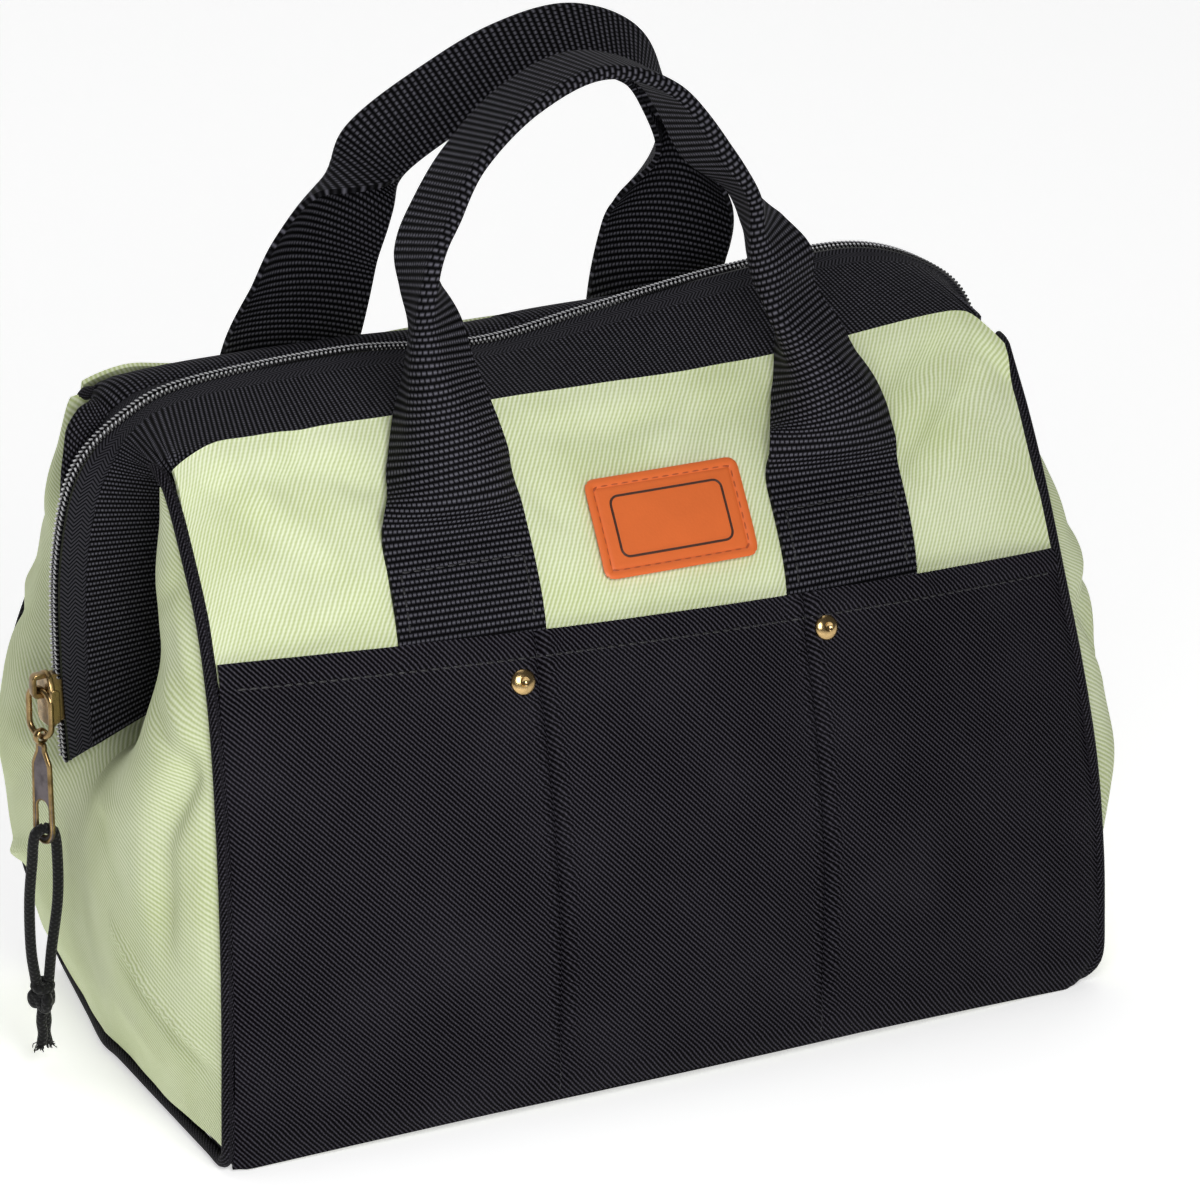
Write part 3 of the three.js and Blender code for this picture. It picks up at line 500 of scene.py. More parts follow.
def pocket_puff(x, half):
    """Bulge of the front pocket between its seams."""
    edges = np.stack([-half, np.full_like(half, -POCKET_SEAM_X), np.full_like(half, POCKET_SEAM_X), half])
    k = (x > -POCKET_SEAM_X).astype(int) + (x > POCKET_SEAM_X)
    low = np.take_along_axis(edges, k[None], 0)[0]
    high = np.take_along_axis(edges, k[None] + 1, 0)[0]
    t = np.clip((x - low) / (high - low), 0, 1)
    return POCKET_PUFF * (1 - (2 * t - 1) ** 4)


def pocket_out(side, x, z):
    """How far a pocket's middle surface stands off its wall."""
    half = wall_half(side, x, z) - CLOTH_INSET
    s = np.clip(x / half, -1, 1)
    fade = np.clip((z - bottom_edge(side, s)) / POCKET_FOOT, 0, 1)
    below = pocket_top(s) - z
    sewn = (1 - soft_step((half - np.abs(x)) / 5)) * soft_step((below - 4) / 8)
    beside_strap = np.abs(np.abs(x) - STRAP_X) - STRAP_WIDTH / 2
    strap = soft_step((5 - beside_strap) / 6) * soft_step((14 - below) / 10)
    layer = LAYER - (LAYER - POCKET_SEWN_LAYER) * sewn + POCKET_OVER_STRAP * strap
    if side == REAR:
        return layer + slack(x, z, 70, 0.25) * fade
    seam = np.minimum(np.abs(x - POCKET_SEAM_X), np.abs(x + POCKET_SEAM_X))
    gathers = PUCKER_HEIGHT * (1 + np.sin(2 * np.pi * z / PUCKER_PITCH))
    pucker = gathers * bell(seam - PUCKER_FROM_SEAM, PUCKER_WIDTH) - SEAM_SUNK * bell(seam, SEAM_WIDTH)
    loose = slack(x, z, 62, 1.0) * (1 - bell(seam, 16))
    return layer + (pocket_puff(x, half) + loose + pucker) * fade


def seam_point(end, side, z):
    """Point on a piped edge."""
    row = drawn(WALLS[side], "z", z)
    half = row["half"] + (row["right"] if end == RIGHT else 0.0)
    return np.stack(np.broadcast_arrays(end * half, side * row["depth"], z), -1)


def rearward(side, p):
    """Points of the mouth's edge, moved in and up where they are on its rear side."""
    if side == FRONT:
        return p
    share = np.clip((np.abs(p[..., 1]) - REAR_FROM) / (REAR_IN_FULL - REAR_FROM), 0, 1)
    p[..., 0] -= np.sign(p[..., 0]) * REAR_NARROWER * share
    p[..., 1] -= np.sign(p[..., 1]) * REAR_CLOSER * share
    p[..., 2] += REAR_HIGHER * share
    return p


# Meshes


def sheet_part(points, thickness, keep=None, uv=None):
    """Closed cloth from a grid of points: vertices, faces and UVs. keep says which cells are there."""
    rows, cols = points.shape[:2]
    keep = np.ones((rows - 1, cols - 1), bool) if keep is None else keep
    pad = np.pad(keep, 1)
    left, right = pad[:-1, :-1] | pad[1:, :-1], pad[:-1, 1:] | pad[1:, 1:]
    below, above = pad[:-1, :-1] | pad[:-1, 1:], pad[1:, :-1] | pad[1:, 1:]
    j, i = np.mgrid[:rows, :cols]
    du = points[j, i + right] - points[j, i - left]
    dv = points[j + above, i] - points[j - below, i]
    half = unit(np.cross(du, dv)) * (np.broadcast_to(thickness, (rows, cols))[..., None] / 2)
    count = rows * cols
    vertices = np.concatenate([(points + half).reshape(-1, 3), (points - half).reshape(-1, 3)])
    jj, ii = np.nonzero(keep)
    ring = np.stack([jj * cols + ii, jj * cols + ii + 1, (jj + 1) * cols + ii + 1, (jj + 1) * cols + ii], 1)
    faces = [ring, ring[:, ::-1] + count]
    beside = [pad[jj, ii + 1], pad[jj + 1, ii + 2], pad[jj + 2, ii + 1], pad[jj + 1, ii]]
    for k, there in enumerate(beside):
        p, q = ring[~there, k], ring[~there, (k + 1) % 4]
        faces.append(np.stack([q, p, p + count, q + count], 1))
    faces = np.concatenate(faces)
    uv = arc_uv(points) if uv is None else uv
    used, faces = np.unique(faces, return_inverse=True)
    return vertices[used], faces.reshape(-1, 4).tolist(), np.tile(uv.reshape(-1, 2), (2, 1))[used]


def arc_uv(points):
    """UVs of a grid from lengths along its rows and columns, measured from its middle."""
    across = np.cumsum(np.linalg.norm(np.diff(points, axis=1, prepend=points[:, :1]), axis=2), axis=1)
    along = np.cumsum(np.linalg.norm(np.diff(points, axis=0, prepend=points[:1]), axis=2), axis=0)
    across -= across[:, across.shape[1] // 2][:, None]
    along = np.broadcast_to(along.mean(axis=1, keepdims=True), across.shape)
    return np.stack([across, along], -1) / UV_MM


def ring_faces(count, sides, closed=False):
    """Faces between neighbouring rings of points, with both ends covered unless they meet."""
    i, k = (g.ravel() for g in np.mgrid[:count if closed else count - 1, :sides])
    n, m = (i + 1) % count, (k + 1) % sides
    faces = np.stack([i * sides + k, i * sides + m, n * sides + m, n * sides + k], 1).tolist()
    if not closed:
        faces.append(list(range(sides))[::-1])
        faces.append([(count - 1) * sides + k for k in range(sides)])
    return faces


def tube_part(path, radius, sides, closed=False):
    """Round tube along a path, with flat ends unless it is closed. radius may differ from point to point."""
    path = np.asarray(path, float)
    count = len(path)
    radius = np.broadcast_to(radius, count)
    if closed:
        along = unit(np.roll(path, -1, 0) - np.roll(path, 1, 0))
    else:
        along = unit(np.gradient(path, axis=0))
    side = np.cross(along[0], [0.31, 0.87, 0.38])
    frames = []
    for t in along:
        side = unit(side - t * (side @ t))
        frames.append(side)
    frames = np.array(frames)
    other = np.cross(along, frames)
    angle = np.arange(sides) * 2 * np.pi / sides
    ring = np.cos(angle)[None, :, None] * frames[:, None] + np.sin(angle)[None, :, None] * other[:, None]
    vertices = (path[:, None] + ring * radius[:, None, None]).reshape(-1, 3)
    around = angle * radius.mean()
    uv = np.stack(np.broadcast_arrays(around[None, :], lengths(path)[:, None]), -1).reshape(-1, 2) / UV_MM
    return vertices, ring_faces(count, sides, closed), uv


def capsule(length, width, height, rings=6, sides=8):
    """Rounded bar along X, about the origin: the shape of a stitch or a tooth."""
    turn = np.linspace(0, np.pi, rings + 1)[1:-1]
    angle = np.arange(sides) * 2 * np.pi / sides
    x = -np.cos(turn)[:, None] * length / 2 * np.ones(sides)
    swell = np.sin(turn)[:, None] ** 0.6
    y = swell * np.cos(angle) * width / 2
    z = swell * np.sin(angle) * height / 2
    ends = [[-length / 2, 0, 0], [length / 2, 0, 0]]
    vertices = np.concatenate([np.stack([x, y, z], -1).reshape(-1, 3), ends])
    faces = []
    for r in range(len(turn) - 1):
        for k in range(sides):
            a, b = r * sides + k, r * sides + (k + 1) % sides
            faces.append([a, a + sides, b + sides, b])
    tip = len(vertices) - 2
    top = (len(turn) - 1) * sides
    for k in range(sides):
        m = (k + 1) % sides
        faces.append([tip, k, m])
        faces.append([tip + 1, top + m, top + k])
    return vertices, faces


def placed_part(shape, places, axes):
    """Copies of a small shape as one part, with its X and Z as UVs. axes gives each copy's directions."""
    vertices, faces = shape
    copies = places[:, None] + np.einsum("vk,nkd->nvd", vertices, axes)
    size = len(vertices)
    joined = [[v + n * size for v in face] for n in range(len(places)) for face in faces]
    return copies.reshape(-1, 3), joined, np.tile(vertices[:, [0, 2]], (len(places), 1)) / UV_MM


def stitch_part(path, outward, settings, width=0.75):
    """A row of stitches along a path, lying on the cloth below it."""
    long = lengths(path)
    at = even_steps(long[-1], settings.stitch / MM + STITCH_SPACE)
    middle = (at[1:] + at[:-1]) / 2
    places = between(middle, long, path)
    ahead = unit(between(middle + 0.5, long, path) - places)
    up = between(middle, long, outward)
    up = unit(up - ahead * np.sum(up * ahead, -1, keepdims=True))
    axes = np.stack([ahead, np.cross(up, ahead), up], 1)
    return placed_part(capsule(settings.stitch / MM, width, 0.55 * width), places, axes)


def plate_part(outlines, thickness, bevel, axes, origin):
    """Flat plate with rounded edges from closed outlines, the later ones holes, laid along two axes."""
    curve = bpy.data.curves.new("outline", "CURVE")
    curve.dimensions = "2D"
    curve.fill_mode = "BOTH"
    curve.extrude = thickness / 2 - bevel
    curve.bevel_depth = bevel
    curve.bevel_resolution = 2
    curve.offset = -bevel
    for outline in outlines:
        spline = curve.splines.new("POLY")
        spline.points.add(len(outline) - 1)
        for point, place in zip(spline.points, outline):
            point.co = (place[0], place[1], 0, 1)
        spline.use_cyclic_u = True
    holder = bpy.data.objects.new("outline", curve)
    bpy.context.scene.collection.objects.link(holder)
    graph = bpy.context.evaluated_depsgraph_get()
    mesh = bpy.data.meshes.new_from_object(holder.evaluated_get(graph))
    flat = np.array([v.co for v in mesh.vertices], float)
    faces = [list(p.vertices) for p in mesh.polygons]
    bpy.data.objects.remove(holder)
    bpy.data.curves.remove(curve)
    bpy.data.meshes.remove(mesh)
    vertices = np.asarray(origin, float) + flat @ np.asarray(axes, float)
    return vertices, faces, flat[:, :2] / UV_MM


def arc(x, y, radius, start, stop, count=10):
    """Points on an arc, angles in degrees."""
    angle = np.radians(np.linspace(start, stop, count))
    return [(x + radius * math.cos(a), y + radius * math.sin(a)) for a in angle]


def piece(name, parts, material, body, slot, *nodes):
    """One object from parts, riding on a body and standing for CAD nodes."""
    vertices, faces, uvs, start = [], [], [], 0
    for part_vertices, part_faces, part_uv in parts:
        vertices.append(part_vertices)
        uvs.append(part_uv)
        faces.extend([v + start for v in face] for face in part_faces)
        start += len(part_vertices)
    vertices = (np.concatenate(vertices) + [0, MOUTH_BACK, 0]) * MM
    mesh = bpy.data.meshes.new(name)
    mesh.from_pydata(vertices.tolist(), [], faces)
    layer = mesh.uv_layers.new(name="weave")
    corner = np.empty(len(mesh.loops), int)
    mesh.loops.foreach_get("vertex_index", corner)
    layer.uv.foreach_set("vector", np.concatenate(uvs)[corner].astype(np.float32).ravel())
    mesh.validate()
    mesh.shade_smooth()
    mesh.set_sharp_from_angle(angle=math.radians(48))
    mesh.materials.append(material)
    made = bpy.data.objects.new(name, mesh)
    bpy.context.scene.collection.objects.link(made)
    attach(made, body)
    if nodes:
        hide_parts(*nodes)
    return made


# Materials


def put(tree, kind, inputs=None, **settings):
    """Adds a node with its settings. inputs holds values, or the sockets that feed them."""
    made = tree.nodes.new(kind)
    for name, value in settings.items():
        setattr(made, name, value)
    for key, value in (inputs or {}).items():
        if isinstance(value, bpy.types.NodeSocket):
            tree.links.new(value, made.inputs[key])
        else:
            made.inputs[key].default_value = value
    return made


def finish(name, sockets):
    """A material with the Principled sockets that are the same all over; its tree and shader.

    One that an earlier piece made is used again, without the nodes that were added to it.
    """
    made = bpy.data.materials.get(name) or bpy.data.materials.new(name)
    made.use_nodes = True
    tree = made.node_tree
    for node in tree.nodes[:]:
        if node.type not in ("BSDF_PRINCIPLED", "OUTPUT_MATERIAL"):
            tree.nodes.remove(node)
    shader = tree.nodes["Principled BSDF"]
    for key, value in sockets.items():
        shader.inputs[key].default_value = value
    return made, tree, shader


def opaque(colour, share=1.0):
    """A colour, or a darker share of it, as a colour socket's value."""
    return (*(c * share for c in colour), 1.0)


WAVE_UNIT = math.pi / 10  # scale at which a band texture repeats once in each unit


def twill(name, crown, gap, rib, lean, roughness, gloss, depth, cross, sharp, dye):
    """Woven polyester twill: fine slanting ribs, crossed by fainter ones, and faint unevenness of the dye.

    The ribs are drawn a little coarser than the cloth's own so that they show in a picture of the whole bag.
    """
    made, tree, shader = finish(name, {
        "Roughness": roughness, "Specular IOR Level": gloss, "IOR": 1.5})
    uv = put(tree, "ShaderNodeUVMap", uv_map="weave")
    scale = UV_MM / (rib / MM)
    bands = []
    for turn, finer in ((lean, 1.0), (lean + math.radians(62), 1.1)):
        turned = put(tree, "ShaderNodeMapping", {
            "Vector": uv.outputs["UV"], "Rotation": (0, 0, turn),
            "Scale": (scale * finer, scale * finer, scale)})
        bands.append(put(tree, "ShaderNodeTexWave", {
            "Vector": turned.outputs["Vector"], "Scale": WAVE_UNIT, "Distortion": 0.8, "Detail": 1.0,
            "Detail Scale": 1.5}))
    ribs, yarns = bands
    weave = put(tree, "ShaderNodeMath", {0: yarns.outputs["Fac"], 1: cross, 2: ribs.outputs["Fac"]},
                operation="MULTIPLY_ADD")
    level = put(tree, "ShaderNodeMath", {0: weave.outputs["Value"], 1: 1 + cross}, operation="DIVIDE")
    crest = put(tree, "ShaderNodeMath", {0: level.outputs["Value"], 1: sharp}, operation="POWER")
    broad = put(tree, "ShaderNodeTexNoise", {"Vector": uv.outputs["UV"], "Scale": UV_MM / 34, "Detail": 3.0})
    uneven = put(tree, "ShaderNodeMapRange", {
        "Value": broad.outputs["Fac"], "From Min": 0.3, "From Max": 0.7, "To Min": -dye, "To Max": dye})
    shade = put(tree, "ShaderNodeMath", {0: crest.outputs["Value"], 1: uneven.outputs["Result"]},
                operation="ADD", use_clamp=True)
    colour = put(tree, "ShaderNodeMix", {
        "Factor": shade.outputs["Value"], 6: opaque(gap), 7: opaque(crown)}, data_type="RGBA")
    bump = put(tree, "ShaderNodeBump", {
        "Height": level.outputs["Value"], "Strength": depth, "Distance": 0.2 * MM})
    tree.links.new(colour.outputs[2], shader.inputs["Base Color"])
    tree.links.new(bump.outputs["Normal"], shader.inputs["Normal"])
    return made


def green_twill(cloth):
    """Lime polyester twill of the walls and gussets."""
    return twill("lime_polyester_twill", cloth.green, cloth.green_gap, cloth.green_rib,
                 math.radians(32), 0.78, 0.15, 0.5, 0.15, 1.0, 0.16)


def black_twill(cloth):
    """Black polyester twill of the pockets and base: dark ribs whose crowns catch a grey light."""
    return twill("black_polyester_twill", cloth.black, cloth.black_gap, cloth.black_rib,
                 math.radians(-44), 0.65, 0.03, 0.7, 0.15, 3.0, 0.04)


def piping_cloth(cloth):
    """Black bias-cut twill over a cord: the same weave, finer and turned across the strip."""
    return twill("black_bias_piping", cloth.black, cloth.black_gap, cloth.black_rib * 0.9,
                 math.radians(30), 0.6, 0.05, 0.5, 0.4, 3.2, 0.04)


def webbing(name, settings, share):
    """Woven polypropylene webbing: rows of short raised yarns with dark gaps, a painted highlight along the
    crest of each row, and a dull plastic gleam.
    """
    made, tree, shader = finish(name, {
        "Roughness": 0.68, "Specular IOR Level": 0.04, "IOR": 1.49})
    uv = put(tree, "ShaderNodeUVMap", uv_map="weave")
    pick = settings.pick / MM * share
    yarns = put(tree, "ShaderNodeTexBrick", {
        "Vector": uv.outputs["UV"], "Scale": UV_MM, "Mortar Size": 0.42 * share, "Mortar Smooth": 1.0,
        "Brick Width": settings.yarn / MM * share, "Row Height": pick,
        "Color1": opaque(settings.crown), "Color2": opaque(settings.crown, 0.8),
        "Mortar": opaque(settings.gap)}, offset=0.5)
    stretched = put(tree, "ShaderNodeMapping", {
        "Vector": uv.outputs["UV"], "Scale": (UV_MM / pick, UV_MM / pick, 1)})
    rows = put(tree, "ShaderNodeTexWave", {
        "Vector": stretched.outputs["Vector"], "Scale": WAVE_UNIT}, bands_direction="Y")
    # Painted highlight: the grey crown colour shows only along each row's crest and falls to the dark gap
    # colour between rows
    crest = put(tree, "ShaderNodeMath", {0: rows.outputs["Fac"], 1: 1.8}, operation="POWER")
    colour = put(tree, "ShaderNodeMix", {
        "Factor": crest.outputs["Value"], 6: opaque(settings.gap), 7: yarns.outputs["Color"]},
        data_type="RGBA")
    raised = put(tree, "ShaderNodeMath", {0: 1.0, 1: yarns.outputs["Fac"]}, operation="SUBTRACT")
    height = put(tree, "ShaderNodeMath", {0: raised.outputs["Value"], 1: rows.outputs["Fac"]},
                 operation="MULTIPLY")
    bump = put(tree, "ShaderNodeBump", {
        "Height": height.outputs["Value"], "Strength": 0.9, "Distance": 0.5 * MM})
    tree.links.new(colour.outputs[2], shader.inputs["Base Color"])
    tree.links.new(bump.outputs["Normal"], shader.inputs["Normal"])
    return made


def herringbone_tape(settings):
    """Woven zip tape: flat, dense herringbone that shows as faint chevrons."""
    made, tree, shader = finish("black_herringbone_tape", {
        "Roughness": 0.65, "Specular IOR Level": 0.04})
    uv = put(tree, "ShaderNodeUVMap", uv_map="weave")
    apart = put(tree, "ShaderNodeSeparateXYZ", {"Vector": uv.outputs["UV"]})
    zigzag = put(tree, "ShaderNodeMath", {0: apart.outputs["X"], 1: 2.2 / UV_MM}, operation="PINGPONG")
    slant = put(tree, "ShaderNodeMath", {0: apart.outputs["Y"], 1: zigzag.outputs["Value"]}, operation="ADD")
    place = put(tree, "ShaderNodeCombineXYZ", {"X": slant.outputs["Value"]})
    ribs = put(tree, "ShaderNodeTexWave", {
        "Vector": place.outputs["Vector"], "Scale": WAVE_UNIT * UV_MM / 1.3, "Distortion": 0.3})
    colour = put(tree, "ShaderNodeMix", {
        "Factor": ribs.outputs["Fac"], 6: opaque(settings.gap), 7: opaque(settings.crown, 0.4)},
        data_type="RGBA")
    bump = put(tree, "ShaderNodeBump", {
        "Height": ribs.outputs["Fac"], "Strength": 0.6, "Distance": 0.25 * MM})
    tree.links.new(colour.outputs[2], shader.inputs["Base Color"])
    tree.links.new(bump.outputs["Normal"], shader.inputs["Normal"])
    return made


def coil_nylon():
    """Black nylon zip coil: smooth drawn filament, with a painted highlight on the crown of each turn.

    The pale crowns are painted highlight, standing in for the coil's gloss highlights, which are too small to
    show. They make the zip a row of bright dots. UV Y is the height on a turn.
    """
    made, tree, shader = finish("black_nylon_coil", {
        "Roughness": 0.2, "Specular IOR Level": 0.6, "IOR": 1.53})
    uv = put(tree, "ShaderNodeUVMap", uv_map="weave")
    apart = put(tree, "ShaderNodeSeparateXYZ", {"Vector": uv.outputs["UV"]})
    # Painted highlight: the upper part of each turn is drawn pale instead of black
    painted_highlight = put(tree, "ShaderNodeMapRange", {
        "Value": apart.outputs["Y"], "From Min": 0.38 / UV_MM, "From Max": 0.68 / UV_MM})
    colour = put(tree, "ShaderNodeMix", {
        "Factor": painted_highlight.outputs["Result"], 6: opaque(linear("#0b0b0d")), 7: opaque(linear("#dedee2"))},
        data_type="RGBA")
    tree.links.new(colour.outputs[2], shader.inputs["Base Color"])
    return made


def aged_metal(name, bright, dark, low, high, patch):
    """Antique plated brass: warm metal, browned in patches, with brighter rubbed places."""
    made, tree, shader = finish(name, {"Metallic": 1.0})
    place = put(tree, "ShaderNodeTexCoord")
    stain = put(tree, "ShaderNodeTexNoise", {
        "Vector": place.outputs["Object"], "Scale": 1 / (patch * MM), "Detail": 4.0, "Roughness": 0.65})
    worn = put(tree, "ShaderNodeMapRange", {
        "Value": stain.outputs["Fac"], "From Min": 0.38, "From Max": 0.62})
    colour = put(tree, "ShaderNodeMix", {
        "Factor": worn.outputs["Result"], 6: opaque(dark), 7: opaque(bright)}, data_type="RGBA")
    gloss = put(tree, "ShaderNodeMapRange", {
        "Value": stain.outputs["Fac"], "From Min": 0.3, "From Max": 0.7, "To Min": high, "To Max": low})
    grit = put(tree, "ShaderNodeTexNoise", {"Vector": place.outputs["Object"], "Scale": 1 / (0.35 * MM)})
    bump = put(tree, "ShaderNodeBump", {
        "Height": grit.outputs["Fac"], "Strength": 0.15, "Distance": 0.08 * MM})
    tree.links.new(colour.outputs[2], shader.inputs["Base Color"])
    tree.links.new(gloss.outputs["Result"], shader.inputs["Roughness"])
    tree.links.new(bump.outputs["Normal"], shader.inputs["Normal"])
    return made


def aged_brass(trim):
    """Antique brass of the slider, the ring and the tab's rim."""
    return aged_metal("antique_brass", trim.brass, trim.brass_dark, 0.2, 0.42, 9.0)


def rivet_brass(trim):
    """Brass of the rivets, kept bright by rubbing."""
    return aged_metal("polished_brass", [min(1.0, c * 1.5) for c in trim.brass], trim.brass, 0.16, 0.3, 3.0)


def sunk_face(trim):
    """Grey sunk face of the tab, brushed dull."""
    return aged_metal("grey_plated_face", trim.face, [c * 0.6 for c in trim.face], 0.35, 0.55, 5.0)


def braided_cord():
    """Black braided polyester cord: crossing strands that show as small slanting bumps."""
    made, tree, shader = finish("black_braided_cord", {
        "Roughness": 0.72, "Specular IOR Level": 0.25, "Sheen Weight": 0.15})
    uv = put(tree, "ShaderNodeUVMap", uv_map="weave")
    strands = []
    for lean in (35, -35):
        turned = put(tree, "ShaderNodeMapping", {
            "Vector": uv.outputs["UV"], "Rotation": (0, 0, math.radians(90 + lean)),
            "Scale": (UV_MM / 1.2, UV_MM / 1.2, 1)})
        strands.append(put(tree, "ShaderNodeTexWave", {
            "Vector": turned.outputs["Vector"], "Scale": WAVE_UNIT, "Distortion": 0.5}))
    height = put(tree, "ShaderNodeMath", {0: strands[0].outputs["Fac"], 1: strands[1].outputs["Fac"]},
                 operation="MULTIPLY")
    colour = put(tree, "ShaderNodeMix", {
        "Factor": height.outputs["Value"], 6: opaque(linear("#060607")), 7: opaque(linear("#1c1c20"))},
        data_type="RGBA")
    bump = put(tree, "ShaderNodeBump", {
        "Height": height.outputs["Value"], "Strength": 0.8, "Distance": 0.4 * MM})
    tree.links.new(colour.outputs[2], shader.inputs["Base Color"])
    tree.links.new(bump.outputs["Normal"], shader.inputs["Normal"])
    return made


def thread(name, colour):
    """Twisted sewing thread: slightly glossy, a little lighter than the cloth under it."""
    made, tree, shader = finish(name, {"Roughness": 0.5, "Sheen Weight": 0.1})
    place = put(tree, "ShaderNodeTexCoord")
    twist = put(tree, "ShaderNodeTexNoise", {"Vector": place.outputs["Object"], "Scale": 1 / (1.5 * MM)})
    mixed = put(tree, "ShaderNodeMix", {
        "Factor": twist.outputs["Fac"], 6: opaque(colour, 0.6), 7: opaque(colour)},
        data_type="RGBA")
    tree.links.new(mixed.outputs[2], shader.inputs["Base Color"])
    return made


def black_thread():
    """Black polyester thread of the pockets, bands and handles, seen only as a faint dotted line."""
    return thread("black_thread", linear("#121115"))


def patch_leather(trim):
    """Orange split leather with a smooth coat: fine pebbled grain, slightly blotched."""
    made, tree, shader = finish("orange_coated_leather", {
        "Roughness": 0.48, "Specular IOR Level": 0.4, "IOR": 1.5})
    uv = put(tree, "ShaderNodeUVMap", uv_map="weave")
    grain = put(tree, "ShaderNodeTexVoronoi", {"Vector": uv.outputs["UV"], "Scale": UV_MM / 0.9})
    blotch = put(tree, "ShaderNodeTexNoise", {"Vector": uv.outputs["UV"], "Scale": UV_MM / 12, "Detail": 3.0})
    colour = put(tree, "ShaderNodeMix", {
        "Factor": blotch.outputs["Fac"], 6: opaque(trim.patch, 0.86), 7: opaque(trim.patch)},
        data_type="RGBA")
    bump = put(tree, "ShaderNodeBump", {
        "Height": grain.outputs["Distance"], "Strength": 0.25, "Distance": 0.12 * MM})
    tree.links.new(colour.outputs[2], shader.inputs["Base Color"])
    tree.links.new(bump.outputs["Normal"], shader.inputs["Normal"])
    return made


def pale_floor(stage):
    """Opal acrylic sheet lit from below: an even white with only faint shadows."""
    made, _, _ = finish("opal_acrylic_sheet", {
        "Base Color": opaque(stage.floor), "Roughness": 0.9, "Specular IOR Level": 0.1,
        "Emission Color": (1, 1, 1, 1), "Emission Strength": stage.glow})
    return made


# Pieces


class BAG_OT_walls(bpy.types.Operator):
    """Front and rear walls of green twill, with the soft folds of cloth sewn under a strap"""

    bl_idname = "bag.walls"
    bl_label = "Walls"

    def execute(self, context):
        cloth = context.scene.bag_cloth
        for side, name in ((FRONT, "front_panel"), (REAR, "rear_panel")):
            s, v = np.meshgrid(np.linspace(-1, 1, 171), np.linspace(0, 1, 121))
            drop = CORNER_DROP * np.clip((np.abs(s) - 0.86) / 0.14, 0, 1) ** 2
            if side == FRONT:
                drop = drop + RIGHT_DROP * np.clip((s - 0.93) / 0.07, 0, 1) ** 1.4
            top = WALL_TOP[side] + RIGHT_RISE * soft_step((s - 0.3) / 0.7) - drop
            if side == REAR:
                top = top + REAR_CORNER_RISE * soft_step((-s - 0.74) / 0.2)
            low = bottom_edge(side, s)
            z = low + (top - low) * v
            under = 2.5 * soft_step((pocket_top(s) - 5 - z) / 6)
            x = s * (wall_half(side, s, z) - CLOTH_INSET - under)
            folds = FOLD_DEPTH[side] * cloth.fold_share * fold_height(WALL_FOLDS, -side * x, z)
            out = slack(x, z, 58, 0.5) * (1 - bell(1 - np.abs(s), 0.05)) + folds
            out = out * soft_step((z - POCKET_TOP + 12) / 12) + TOP_FLARE * soft_step((z - top + 11) / 8)
            points = wall_point(side, x, z, out)
            part = sheet_part(points, cloth.thickness / MM, uv=arc_uv(points) * [-side, 1])
            made = piece(f"{name}_cloth", [part], green_twill(cloth), "bag", "green_twill", name)
        return {"FINISHED"}


class BAG_OT_gussets(bpy.types.Operator):
    """Left and right gusset, folded inwards beside the ends of the mouth"""

    bl_idname = "bag.gussets"
    bl_label = "Gussets"

    MIDDLE_COLUMNS = 5  # of points between the two halves

    def execute(self, context):
        cloth = context.scene.bag_cloth
        for end, name in ((LEFT, "gusset_left"), (RIGHT, "gusset_right")):
            order = np.linspace(0, GUSSET_END, GUSSET_END * 14 + 1)
            halves = {side: self.half(end, side, order) for side in (FRONT, REAR)}
            share = np.linspace(0, 1, self.MIDDLE_COLUMNS + 2)[None, 1:-1, None]
            middle = halves[FRONT][:, -1:] * (1 - share) + halves[REAR][:, -1:] * share
            points = np.concatenate([halves[FRONT], middle, halves[REAR][:, ::-1]], axis=1)
            y, z = points[..., 1], points[..., 2]
            swell = cloth.fold_share * fold_height(GUSSET_FOLDS, -np.abs(y), z) + slack(y, z, 46, 0.6)
            column = np.arange(points.shape[1])
            edge = np.minimum(column, column[::-1])
            points[..., 0] += end * swell * (1 - bell(edge, 3.0))
            width = halves[FRONT].shape[1]
            inside = (column[:-1] >= width - 1) & (column[:-1] < width + self.MIDDLE_COLUMNS)
            keep = ~(inside[None] & (order[:-1, None] >= NOTCH_ROW - 1e-6))
            turn = math.radians(WEAVE_TURN)
            uv = arc_uv(points) * [end, 1]
            uv = uv @ [[math.cos(turn), math.sin(turn)], [-math.sin(turn), math.cos(turn)]]
            part = sheet_part(points, cloth.thickness / MM, keep, uv)
            made = piece(f"{name}_cloth", [part], green_twill(cloth), "bag", "green_twill", name)
        return {"FINISHED"}

    def half(self, end, side, order):
        """Points of one half, from its seam to its middle."""
        row = drawn(GUSSET, "order", order)
        lift = REAR_LIFT * soft_step(order - GUSSET_END + 1) if side == REAR else 0.0
        a = seam_point(end, side, row["seam"] + lift)
        a[:, 1] -= side * CLOTH_INSET
        d = rearward(side, np.stack([end * row["x"], side * row["y"], row["z"] + lift], -1))
        share = row["rear"] if side == REAR else 1.0
        right = row["right"] if side == FRONT and end == RIGHT else 1.0
        b, c = a + (d - a) * 0.33, a + (d - a) * 0.67
        b[:, 0] += end * row["bulge"] * 1.6 * share * right
        c[:, 0] += end * row["inner"] * 1.2 * share
        t = np.linspace(0, 1, 45)[None, :, None]
        a, b, c, d = (p[:, None] for p in (a, b, c, d))
        return a * (1 - t) ** 3 + 3 * b * t * (1 - t) ** 2 + 3 * c * t**2 * (1 - t) + d * t**3


